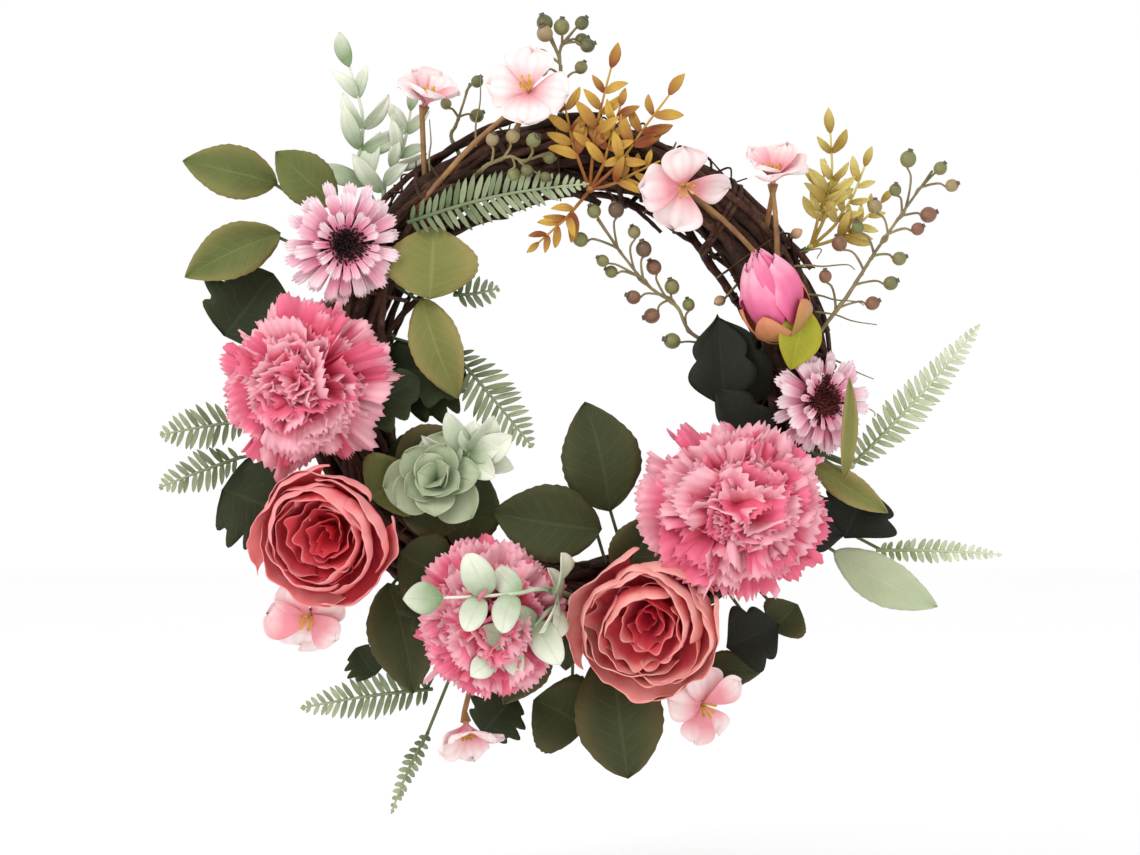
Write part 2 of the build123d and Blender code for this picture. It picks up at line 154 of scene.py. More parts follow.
def blade_pose(points):
    """Base, tip direction, upper face, length and width of a flat leaf or frond."""
    middle, (along_axis, side_axis, face) = principal(points)
    if face @ FRONT < 0:
        face = -face
    along = (points - middle) @ along_axis
    side = np.abs((points - middle) @ side_axis)
    if along[side.argmax()] > (along.min() + along.max()) / 2:
        along_axis, along = -along_axis, -along
    base = middle + along_axis * along.min()
    return base, along_axis, face, np.ptp(along), 2 * side.max()


def spine(points, count):
    """The centre line of a thin spray, from its foot by the ring out to its tip."""
    middle, axes = principal(points)
    way = axes[0]
    along = (points - middle) @ way
    ends = [middle + way * end for end in (along.min(), along.max())]
    gaps = [np.linalg.norm(end - nearest_on_ring(end)) for end in ends]
    if gaps[0] > gaps[1]:
        way, along = -way, -along
    edges = np.linspace(along.min(), along.max(), count + 1)
    line = []
    for low, high in zip(edges, edges[1:]):
        inside = points[(along >= low) & (along <= high)]
        if len(inside):
            line.append((inside.min(0) + inside.max(0)) / 2)
    # a posable spray starts in a ball, and its line starts in the middle of it
    start = points[along.argmin()] + way * BALL
    tip = points[along.argmax()]
    return np.array([start] + line[1:-1] + [tip])


def seeded(name):
    """Random numbers that are the same for a name at every run."""
    return np.random.default_rng([SEED, *map(ord, name)])


def around(axis):
    """Two directions square to an axis."""
    side = unit(np.cross(axis, UP if abs(axis @ UP) < 0.9 else FRONT))
    return side, np.cross(axis, side)


def spoke(axis, azimuth):
    """The direction square to an axis at an angle round it."""
    side, other = around(axis)
    return side * cos(azimuth) + other * sin(azimuth)


# ---- mesh building -----------------------------------------------
class Sheets:
    """Collects grids of points with the values that the materials read, and makes one mesh of them."""

    def __init__(self):
        self.points, self.faces, self.along, self.across, self.tone = [], [], [], [], []
        self.count = 0

    def grid(self, points, along, across, tone, closed=False):
        """points is rows x columns x 3.  closed joins the last column to the first."""
        rows, columns = points.shape[:2]
        self.points.append(points.reshape(-1, 3))
        self.along.append(np.broadcast_to(along, (rows, columns)).ravel())
        self.across.append(np.broadcast_to(across, (rows, columns)).ravel())
        self.tone.append(np.full(rows * columns, tone))
        index = np.arange(rows * columns).reshape(rows, columns) + self.count
        if closed:
            index = np.hstack([index, index[:, :1]])
        a, b, c, d = index[:-1, :-1], index[:-1, 1:], index[1:, 1:], index[1:, :-1]
        self.faces.append(np.stack([a, b, c, d], -1).reshape(-1, 4))
        self.count += rows * columns

    def cap(self, ring_start, sides, reverse):
        """Closes the open end of a tube with quads across its first or last ring."""
        ids = np.arange(ring_start, ring_start + sides)
        if reverse:
            ids = ids[::-1]
        for k in range(1, sides - 2, 2):
            self.faces.append(np.array([[ids[0], ids[k], ids[k + 1], ids[k + 2]]]))

    def mesh(self, name):
        mesh = bpy.data.meshes.new(name)
        mesh.from_pydata(np.vstack(self.points).tolist(), [], np.vstack(self.faces).tolist())
        for label, values in (("along", self.along), ("across", self.across), ("tone", self.tone)):
            attribute = mesh.attributes.new(label, "FLOAT", "POINT")
            attribute.data.foreach_set("value", np.concatenate(values).astype(np.float32))
        mesh.shade_smooth()
        mesh.update()
        return mesh


def grid_shares(rows, columns):
    """The share of the way from foot to tip for each row, and from edge to edge for each column."""
    return np.linspace(0, 1, rows)[:, None], np.linspace(-1, 1, columns)[None, :]


def frames_along(line):
    """Tangent and two square directions at each point of a line, without sudden turns."""
    tangents = np.gradient(line, axis=0)
    tangents /= np.maximum(np.linalg.norm(tangents, axis=1, keepdims=True), 1e-12)
    side = around(tangents[0])[0]
    sides = []
    for tangent in tangents:
        side = unit(side - tangent * (side @ tangent))
        sides.append(side)
    sides = np.array(sides)
    return tangents, sides, np.cross(tangents, sides)


def smooth_line(points, count):
    """A rounder line through some points: a Catmull-Rom curve read at even steps."""
    points = np.asarray(points, float)
    padded = np.vstack([2 * points[0] - points[1], points, 2 * points[-1] - points[-2]])
    result = []
    for t in np.linspace(0, len(points) - 1, count):
        k = min(int(t), len(points) - 2)
        u = t - k
        a, b, c, d = padded[k:k + 4]
        curve = (2 * a - 5 * b + 4 * c - d) * u**2 + (3 * b - a - 3 * c + d) * u**3
        result.append(0.5 * (2 * b + (c - a) * u + curve))
    return np.array(result)


def tube(sheets, line, radii, sides=8, tone=0.5, bumps=0.0, rng=None):
    """A round tube along a line, with a radius for each point and an uneven skin if bumps is set."""
    line = np.asarray(line, float)
    radii = np.broadcast_to(radii, len(line))
    _, side, other = frames_along(line)
    angle = np.linspace(0, 2 * pi, sides, endpoint=False)
    swell = np.ones((len(line), sides))
    if bumps:
        swell += bumps * (rng.random((len(line), sides)) - 0.5) * 2
    ring = np.cos(angle)[None, :, None], np.sin(angle)[None, :, None]
    offsets = side[:, None] * ring[0] + other[:, None] * ring[1]
    points = line[:, None] + offsets * (radii[:, None] * swell)[..., None]
    start = sheets.count
    along = np.linspace(0, 1, len(points))[:, None]
    sheets.grid(points, along, np.cos(angle)[None, :], tone, closed=True)
    sheets.cap(start, sides, False)
    sheets.cap(start + (len(points) - 1) * sides, sides, True)


def knuckle(sheets, centre):
    """The ball at the foot of a posable spray."""
    share = np.linspace(-1, 1, 9)
    line = [centre + UP * BALL * a for a in share]
    tube(sheets, line, BALL * np.sqrt(np.maximum(1 - share**2, 0.02)), sides=12)


def swollen(u, widest):
    """A leaf's outline along its length: nothing at both ends and 1 at the share called widest."""
    return np.sin(pi * u ** (np.log(0.5) / np.log(widest)))


def petal(sheets, base, axis, out_dir, rise, turn, length, width, tone, rows=7, columns=9,
          base_width=0.2, belly=0.6, fan=False, round_tip=0.0, teeth=0, tooth=0.0, ruffle=0.0,
          waves=2.0, phase=0.0, cup=0.0, roll=0.0, along=(0, 1)):
    """One petal or leaflet.  rise and turn are its angles above the flat at its foot and at its tip,
    in degrees.  A fan widens up to its rim; other petals are widest at belly.  cup curls the sides up,
    ruffle waves the rim, teeth notch it, and roll tips the petal sideways."""
    u, v = grid_shares(rows, columns)
    side = unit(np.cross(axis, out_dir))
    angle = np.radians(rise + (turn - rise) * np.linspace(0, 1, rows))
    step = length / (rows - 1)
    mid = (angle[1:] + angle[:-1]) / 2
    reach = np.concatenate([[0], np.cumsum(np.cos(mid)) * step])[:, None, None]
    height = np.concatenate([[0], np.cumsum(np.sin(mid)) * step])[:, None, None]
    cosine, sine = np.cos(angle)[:, None, None], np.sin(angle)[:, None, None]
    normal = -sine * out_dir + cosine * axis
    tangent = cosine * out_dir + sine * axis
    if fan:
        shape = base_width + (1 - base_width) * u**0.85
    else:
        shape = np.maximum(swollen(u, belly) ** 0.6, base_width * (1 - u))
    half = width / 2 * shape
    short = -round_tip * length * np.abs(v) ** 2.2 * u**3
    if teeth:
        short = short - tooth * u**5 * np.abs(((v * teeth + phase) % 1.0) * 2 - 1)
    lift = cup * width * v**2 * np.sin(pi * u * 0.75)
    wave = np.sin(waves * pi * v + phase * ANY_PHASE)
    lift = lift + ruffle * u**1.6 * wave * (0.4 + 0.6 * np.abs(v))
    tip = radians(roll)
    offset = side * (v * half * cos(tip))[..., None]
    offset = offset + normal * (lift + v * half * sin(tip))[..., None] + tangent * short[..., None]
    points = base + reach * out_dir + height * axis + offset
    sheets.grid(points, along[0] + (along[1] - along[0]) * u, v, tone)


def cupped(sheets, base, axis, azimuth, spread, radius, height, lip, tone, rng, dip=0.25, wave=0.05,
           foot=0.2):
    """A petal that wraps round an axis like a piece of a bowl, with a wavy rim."""
    side, other = around(axis)
    u, v = grid_shares(12, 25)
    phase = rng.uniform(0, ANY_PHASE, 4)
    angle = azimuth + v * spread / 2 * (0.45 + 0.55 * u**0.6)
    bulge = foot + (1 - foot) * np.sin(pi / 2 * u**0.75)
    ripple = np.sin(2.3 * pi * v + phase[0]) * 0.6 + np.sin(4.1 * pi * v + phase[1]) * 0.4
    out = bulge + lip * u**4 + wave * ripple * u**2.2 + 0.04 * np.sin(5 * u + 3 * v + phase[2])
    out = out + 0.10 * np.abs(v) ** 3 * u * np.sin(phase[3])
    out = radius * (out + 0.014 * np.sin(8.7 * pi * v + phase[2]) * u**1.5)
    rim = wave * 0.8 * np.sin(3.3 * pi * v + phase[1]) + 0.022 * np.sin(9.5 * pi * v + phase[0])
    up = height * (u * (1 - dip * np.abs(v) ** 2.6 * u) + rim * u**3)
    way = np.cos(angle)[..., None] * side + np.sin(angle)[..., None] * other
    sheets.grid(base + up[..., None] * axis + out[..., None] * way, u, v, tone)


def blade(sheets, base, way, face, length, width, tone, rng, teeth=11, lobes=0, droop=0.10, fold=0.22,
          belly=0.42, blunt=0.86, rows=27, columns=9):
    """A leaf with a midrib fold, a saw-toothed or lobed edge and a slight droop."""
    u, v = grid_shares(rows, columns)
    way = unit(way)
    face = unit(face - way * (face @ way))
    side = np.cross(face, way)
    outline = swollen(u, belly) ** blunt
    if lobes:
        outline = outline * (0.70 + 0.36 * np.abs(np.sin(pi * lobes * u)))
    elif teeth:
        outline = outline * (1 + 0.055 * ((u * teeth) % 1.0))
    half = width / 2 * outline
    bow = rng.uniform(-0.04, 0.04) * length * np.sin(pi * u)
    flutter = 0.018 * length * np.sin(7 * u + 5 * v + rng.uniform(0, 6)) * np.abs(v)
    arch = 0.09 * length * np.sin(pi * u) - droop * length * u**2
    lift = fold * np.abs(v) * half + arch + flutter
    swept = u * length + 0.20 * length * v**2 * u * (1 - u)
    points = base + swept[..., None] * way + (v * half + bow)[..., None] * side + lift[..., None] * face
    sheets.grid(points, u, v, tone)


def add_piece(name, sheets, material, thickness, subdivide):
    """An object of the sheets, rounded and thickened if asked."""
    obj = bpy.data.objects.new(name, sheets.mesh(name))
    bpy.context.scene.collection.objects.link(obj)
    obj.data.materials.append(material)
    if subdivide:
        smooth = obj.modifiers.new("smooth", "SUBSURF")
        smooth.levels = smooth.render_levels = subdivide
    if thickness:
        cloth = obj.modifiers.new("cloth", "SOLIDIFY")
        cloth.thickness = thickness
        cloth.offset = 0
    return obj


def place(name, sheets, material, node, thickness=0.0, subdivide=0):
    """A piece that stands for a CAD node and moves with its body."""
    obj = add_piece(name, sheets, material, thickness, subdivide)
    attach(obj, BODY_OF[node])
    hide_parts(node)


def extra(name, sheets, material, thickness=0.0):
    """A small piece of the wreath, with no CAD node behind it."""
    obj = add_piece(name, sheets, material, thickness, 0)
    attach(obj, "wreath")


# ---- materials ---------------------------------------------------
class Nodes:
    """A short way to write a material's nodes."""

    def __init__(self, name):
        self.material = bpy.data.materials.new(name)
        self.material.use_nodes = True
        self.tree = self.material.node_tree
        self.shader = self.tree.nodes["Principled BSDF"]

    def add(self, kind, **values):
        node = self.tree.nodes.new(kind)
        for key, value in values.items():
            if key in node.inputs:
                node.inputs[key].default_value = value
            else:
                setattr(node, key, value)
        return node

    def feed(self, node, socket, source):
        """Gives a socket a number, a colour or another node's output."""
        if isinstance(source, (int, float)):
            node.inputs[socket].default_value = source
        elif isinstance(source, tuple):
            node.inputs[socket].default_value = (*source, 1)
        else:
            self.tree.links.new(source, node.inputs[socket])

    def values_of(self, *labels):
        """The values that the meshes carry for each point."""
        nodes = [self.add("ShaderNodeAttribute", attribute_name=label) for label in labels]
        return [node.outputs["Fac"] for node in nodes]

    def noise(self, scale, detail=4.0, rough=0.55):
        node = self.add("ShaderNodeTexNoise", Scale=scale, Detail=detail, Roughness=rough)
        self.feed(node, "Vector", self.add("ShaderNodeTexCoord").outputs["Object"])
        return node.outputs["Fac"]

    def ramp(self, factor, stops):
        node = self.add("ShaderNodeValToRGB")
        elements = node.color_ramp.elements
        while len(elements) < len(stops):
            elements.new(0.5)
        for element, (position, colour) in zip(elements, stops):
            element.position = position
            element.color = (*colour, 1)
        self.feed(node, "Fac", factor)
        return node.outputs["Color"]

    def mix(self, factor, a, b):
        """A blend of two colours.  The node's sockets 0, 6 and 7 are its factor and its colours."""
        node = self.add("ShaderNodeMix", data_type="RGBA")
        for socket, source in ((0, factor), (6, a), (7, b)):
            self.feed(node, socket, source)
        return node.outputs[2]

    def math(self, operation, a, b=0.0, clamp=False):
        node = self.add("ShaderNodeMath", operation=operation, use_clamp=clamp)
        self.feed(node, 0, a)
        self.feed(node, 1, b)
        return node.outputs[0]

    def times(self, a, b, clamp=False):
        return self.math("MULTIPLY", a, b, clamp)

    def sum_of(self, a, b):
        return self.math("ADD", a, b)

    def swing(self, value, reach):
        """A value between 0 and 1, turned into one that swings about 0."""
        return self.times(self.math("SUBTRACT", value, 0.5), reach)

    def crest(self, value, steepness):
        """1 where the value is 0, falling to 0 on the way up."""
        return self.math("SUBTRACT", 1.0, self.times(value, steepness), clamp=True)

    def bump(self, height, strength, distance):
        node = self.add("ShaderNodeBump", Strength=strength, Distance=distance)
        self.feed(node, "Height", height)
        self.feed(self.shader, "Normal", node.outputs["Normal"])

    def weave(self, threads):
        """The fine cross-hatch of woven cloth: threads per metre both ways."""
        where = self.add("ShaderNodeTexCoord").outputs["Object"]
        bands = []
        for direction in ("X", "Z"):
            wave = self.add("ShaderNodeTexWave", bands_direction=direction, Scale=threads, Distortion=0.6)
            self.feed(wave, "Vector", where)
            bands.append(wave.outputs["Fac"])
        return self.times(*bands)

    def done(self, colour, roughness, **sockets):
        self.feed(self.shader, "Base Color", colour)
        self.shader.inputs["Roughness"].default_value = roughness
        for name, value in sockets.items():
            self.shader.inputs[name.replace("_", " ")].default_value = value
        return self.material


def cloth_petal(name, deep, middle, pale, rim=0.8, veins=26.0, depth=0.3):
    """Dyed polyester: deep at the foot of each petal, pale at its rim, with fine ribs and a weave. On the
    carnations the deep foot is partly dye and partly painted crevice shade, and on the roses the pale rim
    is partly lighter cloth and partly a painted highlight.
    depth is how far the petals' own tones differ."""
    n = Nodes(name)
    along, across, tone = n.values_of("along", "across", "tone")
    shifted = n.sum_of(n.sum_of(along, n.swing(n.noise(75.0), 0.4)), n.swing(tone, depth))
    # deep at each petal's foot, pale at its rim: on the carnations the deep foot is partly painted
    # crevice shade, and on the roses the pale rim is partly a painted highlight
    colour = n.ramp(shifted, [(0.0, deep), (0.32, deep), (rim * 0.78, middle), (rim, pale), (1.0, pale)])
    ribs = n.math("SINE", n.times(across, veins))
    colour = n.mix(n.times(n.sum_of(ribs, 1.0), 0.09), colour, deep)
    n.bump(n.sum_of(n.times(ribs, 0.35), n.weave(900.0)), 0.35, 0.0005)
    return n.done(colour, 0.8, Sheen_Weight=0.04, Sheen_Roughness=0.5, Specular_IOR_Level=0.12)


def printed_leaf(name, middle, edge, vein, dark):
    """Printed cloth with a paler midrib and side veins, yellowed or reddened towards its edge."""
    n = Nodes(name)
    along, across, tone = n.values_of("along", "across", "tone")
    aside = n.math("ABSOLUTE", across)
    midrib = n.crest(aside, 14.0)
    slanted = n.math("SUBTRACT", n.times(along, 9.0), n.times(aside, 1.7))
    stripe = n.math("ABSOLUTE", n.math("SUBTRACT", n.math("FRACT", slanted), 0.5))
    lines = n.math("MAXIMUM", midrib, n.times(n.crest(stripe, 9.0), 0.55))
    colour = n.mix(n.times(n.noise(45.0), 0.9), middle, dark)
    near_edge = n.math("POWER", aside, 3.0)
    colour = n.mix(n.times(near_edge, n.sum_of(tone, 0.2), clamp=True), colour, edge)
    colour = n.mix(n.times(lines, 0.3), colour, vein)
    n.bump(n.sum_of(n.times(lines, -1.0), n.times(n.weave(800.0), 0.35)), 0.5, 0.0006)
    return n.done(colour, 0.5, Specular_IOR_Level=0.22)


def moulded_leaf(name, foot, tip, depth=0.5):
    """Moulded plastic foliage that fades from foot to tip, each leaf in its own shade."""
    n = Nodes(name)
    along, across, tone = n.values_of("along", "across", "tone")
    mixed = n.sum_of(n.sum_of(along, n.swing(n.noise(130.0), 0.5)), n.swing(tone, depth))
    halfway = tuple((a + b) / 2 for a, b in zip(foot, tip))
    colour = n.ramp(mixed, [(0.0, foot), (0.5, halfway), (1.0, tip)])
    rib = n.crest(n.math("ABSOLUTE", across), 8.0)
    colour = n.mix(n.times(rib, 0.3), colour, tuple(min(1, c * 1.5 + 0.05) for c in foot))
    n.bump(n.sum_of(n.noise(700.0), rib), 0.35, 0.0004)
    return n.done(colour, 0.5, Specular_IOR_Level=0.3)


def bark(name, dark, light, red):
    """Dry vine: streaks, peeling patches and a rough skin, with some twigs darker than others."""
    n = Nodes(name)
    (tone,) = n.values_of("tone")
    streaks = n.noise(260.0, 6.0, 0.7)
    patches = n.noise(70.0, 5.0, 0.6)
    mottling = n.sum_of(n.times(streaks, 0.55), n.times(patches, 0.45))
    colour = n.ramp(mottling, [(0.3, dark), (0.52, red), (0.68, light), (1.0, light)])
    colour = n.mix(n.times(tone, 0.75), colour, dark)
    n.bump(n.sum_of(streaks, n.times(patches, 0.6)), 0.9, 0.0015)
    return n.done(colour, 0.82, Specular_IOR_Level=0.25)


def berry_skin(name):
    """Painted foam berries: green to brown, blushed on one side and dusty, with a dark crown."""
    n = Nodes(name)
    tone, along = n.values_of("tone", "along")
    greens = [(0.0, (0.07, 0.09, 0.025)), (0.35, (0.17, 0.185, 0.06))]
    browns = [(0.6, (0.30, 0.23, 0.11)), (0.8, (0.20, 0.08, 0.045)), (1.0, (0.10, 0.055, 0.035))]
    colour = n.ramp(tone, greens + browns)
    blush = n.times(n.noise(90.0), n.math("SUBTRACT", 1.0, along), clamp=True)
    colour = n.mix(n.times(blush, 0.45), colour, (0.45, 0.30, 0.14))
    crown = n.times(n.math("SUBTRACT", along, 0.86), 12.0, clamp=True)
    colour = n.mix(crown, colour, (0.05, 0.035, 0.02))
    n.bump(n.noise(900.0), 0.25, 0.0003)
    return n.done(colour, 0.42)


def twig_skin(name, dark, light):
    """Moulded stems: uneven green to brown with fine ridges."""
    n = Nodes(name)
    colour = n.ramp(n.noise(110.0, 5.0), [(0.3, dark), (0.7, light)])
    n.bump(n.noise(600.0), 0.4, 0.0004)
    return n.done(colour, 0.55)


def plain(name, colour, roughness, scale, spread, metallic=0.0):
    """A near-plain finish with small uneven patches, for wire, seeds and pollen."""
    n = Nodes(name)
    shade = tuple(max(0.0, c - spread) for c in colour)
    n.bump(n.noise(scale), 0.1, 0.0003)
    patches = n.ramp(n.noise(scale / 6), [(0.35, shade), (0.65, colour)])
    return n.done(patches, roughness, Metallic=metallic)


MATERIALS = {
    # foot, middle and rim of a petal
    # the carnation's deep foot colour is partly dye and partly painted shade of the crevices between
    # petals
    "carnation": cloth_petal("carnation_cloth_painted_crevice_shade", (0.68, 0.05, 0.12), (0.88, 0.21, 0.32),
                             (0.94, 0.50, 0.57), rim=1.06, depth=0.45),
    # the roses' pale rim colours are partly lighter cloth and partly painted highlights on the petal
    # edges
    "rose_coral": cloth_petal("rose_coral_cloth_painted_highlight", (0.80, 0.05, 0.08), (0.87, 0.12, 0.15),
                              (0.94, 0.36, 0.36), rim=1.14, veins=18.0, depth=0.7),
    "rose_peach": cloth_petal("rose_peach_cloth_painted_highlight", (0.80, 0.045, 0.11), (0.90, 0.16, 0.18),
                              (0.96, 0.46, 0.41), rim=1.06, veins=18.0, depth=0.8),
    "daisy": cloth_petal("daisy_cloth", (0.72, 0.16, 0.28), (0.88, 0.50, 0.59),
                         (0.93, 0.75, 0.79), rim=0.92, veins=9.0),
    "blossom": cloth_petal("blossom_cloth", (0.84, 0.33, 0.38), (0.93, 0.68, 0.68),
                           (0.95, 0.84, 0.82), rim=0.8, veins=14.0, depth=0.5),
    "bud": cloth_petal("bud_cloth", (0.70, 0.08, 0.22), (0.85, 0.21, 0.38),
                       (0.91, 0.46, 0.58), rim=1.02, veins=16.0, depth=0.6),
    "seed_dark": plain("seed_head_dark", (0.035, 0.014, 0.012), 0.8, 800.0, 0.02),
    "seed_red": plain("seed_head_red", (0.16, 0.035, 0.025), 0.8, 800.0, 0.1),
    "pollen": plain("pollen", (0.80, 0.55, 0.12), 0.7, 900.0, 0.2),
    # middle, edge, vein and shade of a leaf
    "leaf": printed_leaf("leaf_olive_cloth", (0.170, 0.200, 0.055), (0.26, 0.22, 0.07),
                         (0.27, 0.29, 0.12), (0.060, 0.080, 0.016)),
    "leaf_deep": printed_leaf("leaf_deep_olive_cloth", (0.056, 0.066, 0.019), (0.12, 0.095, 0.034),
                              (0.11, 0.125, 0.05), (0.022, 0.028, 0.009)),
    "leaf_light": printed_leaf("leaf_light_olive_cloth", (0.27, 0.28, 0.08), (0.36, 0.28, 0.10),
                               (0.40, 0.40, 0.17), (0.13, 0.14, 0.03)),
    "leaf_dark": printed_leaf("leaf_dark_cloth", (0.034, 0.048, 0.016), (0.05, 0.065, 0.022),
                              (0.08, 0.10, 0.04), (0.010, 0.016, 0.005)),
    "leaf_black": printed_leaf("leaf_black_cloth", (0.016, 0.019, 0.011), (0.022, 0.028, 0.015),
                               (0.035, 0.042, 0.022), (0.005, 0.007, 0.004)),
    "leaf_yellow": printed_leaf("leaf_yellow_cloth", (0.40, 0.38, 0.02), (0.50, 0.42, 0.04),
                                (0.58, 0.55, 0.10), (0.24, 0.25, 0.02)),
    "leaf_pale": printed_leaf("leaf_pale_cloth", (0.58, 0.64, 0.42), (0.66, 0.66, 0.50),
                              (0.68, 0.72, 0.55), (0.36, 0.44, 0.25)),
    # foot and tip
    "sage": moulded_leaf("sage_leaf", (0.16, 0.21, 0.11), (0.46, 0.52, 0.34)),
    "sage_white": moulded_leaf("sage_white_leaf", (0.20, 0.29, 0.14), (0.78, 0.80, 0.66)),
    "fern": moulded_leaf("fern_leaf", (0.08, 0.12, 0.045), (0.40, 0.45, 0.27)),
    "fern_pale": moulded_leaf("fern_pale_leaf", (0.26, 0.33, 0.14), (0.68, 0.72, 0.52)),
    "gold": moulded_leaf("gold_leaf_top", (0.22, 0.05, 0.01), (0.56, 0.33, 0.05), depth=1.1),
    "gold_light": moulded_leaf("gold_leaf_right", (0.30, 0.18, 0.02), (0.66, 0.55, 0.16), depth=0.9),
    "bud_fruit": moulded_leaf("bud_fruit", (0.22, 0.20, 0.07), (0.66, 0.36, 0.22)),
    "sepal": moulded_leaf("sepal_leaf", (0.26, 0.20, 0.04), (0.66, 0.25, 0.12)),
    "bark": bark("vine_bark", (0.016, 0.008, 0.006), (0.17, 0.095, 0.055), (0.070, 0.028, 0.016)),
    "berry": berry_skin("berry_skin"),
    "twig": twig_skin("spray_twig", (0.13, 0.10, 0.04), (0.30, 0.24, 0.10)),
    "stem_green": twig_skin("stem_green", (0.06, 0.10, 0.035), (0.14, 0.19, 0.07)),
    "stem_brown": twig_skin("stem_orange_brown", (0.16, 0.07, 0.025), (0.38, 0.20, 0.06)),
    "wire": plain("tie_wire", (0.10, 0.06, 0.035), 0.45, 900.0, 0.04, metallic=0.7),
}


# ---- the studio --------------------------------------------------
CAMERA_PLACE = (0.0, -1.63, -0.110)
CAMERA_LENS = 107.0
FLOOR_HEIGHT = -0.345
LIGHTS_AIM = Vector((0, 0, -0.09))
# place, width in metres and power in watts
LIGHTS = {"key": ((-0.9, -1.3, 0.9), 0.7, 10.0), "fill": ((1.1, -1.2, 0.2), 1.2, 2.0)}


def studio():
    """White studio, one big soft light from the upper left and a fill, seen straight from the front."""
    scene = bpy.context.scene
    scene.view_settings.view_transform = "Standard"
    world = bpy.data.worlds.new("studio")
    world.use_nodes = True
    backdrop = world.node_tree.nodes["Background"]
    backdrop.inputs["Color"].default_value = (1.0, 1.0, 1.0, 1)
    backdrop.inputs["Strength"].default_value = 1.0
    scene.world = world

    camera = bpy.data.objects.new("camera", bpy.data.cameras.new("camera"))
    camera.location = CAMERA_PLACE
    camera.rotation_euler = (pi / 2, 0, 0)
    camera.data.lens = CAMERA_LENS
    scene.collection.objects.link(camera)
    scene.camera = camera

    for name, (spot, size, power) in LIGHTS.items():
        light = bpy.data.objects.new(name, bpy.data.lights.new(name, "AREA"))
        light.data.size = size
        light.data.energy = power
        light.location = spot
        light.rotation_euler = (LIGHTS_AIM - Vector(spot)).to_track_quat("-Z", "Y").to_euler()
        scene.collection.objects.link(light)

    bpy.ops.mesh.primitive_plane_add(size=8, location=(0, 0, FLOOR_HEIGHT))
    floor = bpy.context.object
    floor.name = "floor"
    paint = Nodes("floor_paint")
    shades = [(0.0, (0.97, 0.97, 0.97)), (1.0, (0.99, 0.99, 0.99))]
    floor.data.materials.append(paint.done(paint.ramp(paint.noise(2.0), shades), 0.9))


# ---- flowers -----------------------------------------------------
CARNATION_PETALS = 78


def carnation(name):
    """Fan-shaped petals with pinked rims, crumpled into a dome."""
    rng = seeded(name)
    base, axis, radius, height = head_pose(name)
    sheets = Sheets()
    dome = max(height * 1.02, radius * 0.66)
    foot = base + axis * dome * 0.06
    for k in range(CARNATION_PETALS):
        share = (k + 0.5) / CARNATION_PETALS
        degrees = 2 + 86 * share**0.92 + rng.normal(0, 6)
        rise = radians(degrees)
        out_dir = spoke(axis, k * GOLDEN_ANGLE + rng.normal(0, 0.25))
        reach = rng.uniform(0.82, 1.04) / sqrt((cos(rise) / radius) ** 2 + (sin(rise) / dome) ** 2)
        petal(sheets, foot, axis, out_dir, degrees + rng.uniform(8, 28), degrees - rng.uniform(20, 70),
              reach * 1.03, radius * rng.uniform(0.6, 0.95), rng.random(), rows=11, columns=35,
              base_width=0.05, fan=True, round_tip=rng.uniform(0.1, 0.32), teeth=rng.integers(5, 8),
              tooth=reach * rng.uniform(0.06, 0.11), ruffle=radius * rng.uniform(0.09, 0.18),
              waves=rng.uniform(1.2, 2.6), phase=rng.random(), cup=rng.uniform(-0.15, 0.25),
              roll=rng.normal(0, 26))
    place(name + "_frills", sheets, MATERIALS["carnation"], name + "_petals", thickness=PETAL_CLOTH)


# share of the radius and of the height, outward lip, petals, and how far round each one goes
ROSE_WHORLS = (
    (0.11, 0.58, 0.15, 2, 190), (0.22, 0.64, 0.15, 3, 170), (0.35, 0.72, 0.10, 3, 165),
    (0.50, 0.84, 0.0, 4, 145), (0.67, 1.0, -0.12, 4, 150), (0.84, 1.04, -0.13, 4, 145),
    (0.98, 0.90, -0.04, 5, 125),
)
ROSE_HEART = 4  # whorls that are crumpled


def rose(name, material):
    """Whorls of cupped petals, tight and crumpled in the middle and open outside."""
    rng = seeded(name)
    base, axis, radius, height = head_pose(name)
    tall = max(height * 0.98, radius * 0.74)
    sheets = Sheets()
    for index, (out, up, lip, count, spread) in enumerate(ROSE_WHORLS):
        turn = 0.7 * (index + 1)
        wave = 0.14 if index < ROSE_HEART else 0.05
        for k in range(count):
            tone = 0.12 + 0.8 * index / (len(ROSE_WHORLS) - 1) + rng.normal(0, 0.06)
            own_axis = unit(axis + rng.normal(0, 0.09, 3))
            azimuth = turn + 2 * pi * k / count + rng.normal(0, 0.2)
            wide = radius * out * (1 + 0.07 * (k % 2)) * rng.uniform(0.96, 1.03)
            cupped(sheets, base, own_axis, azimuth, radians(spread), wide,
                   tall * up * rng.uniform(0.9, 1.05), lip, tone, rng, wave=wave,
                   dip=rng.uniform(0.15, 0.45))
    place(name + "_cups", sheets, material, name + "_petals", thickness=STIFF_CLOTH, subdivide=1)


# rays, share of the radius that they reach, rise in degrees, and width as a share of the radius
DAISY_LAYERS = ((19, 1.0, 3, 0.235), (18, 0.92, 13, 0.235), (20, 0.60, 30, 0.13))
DAISY_SEEDS = 340


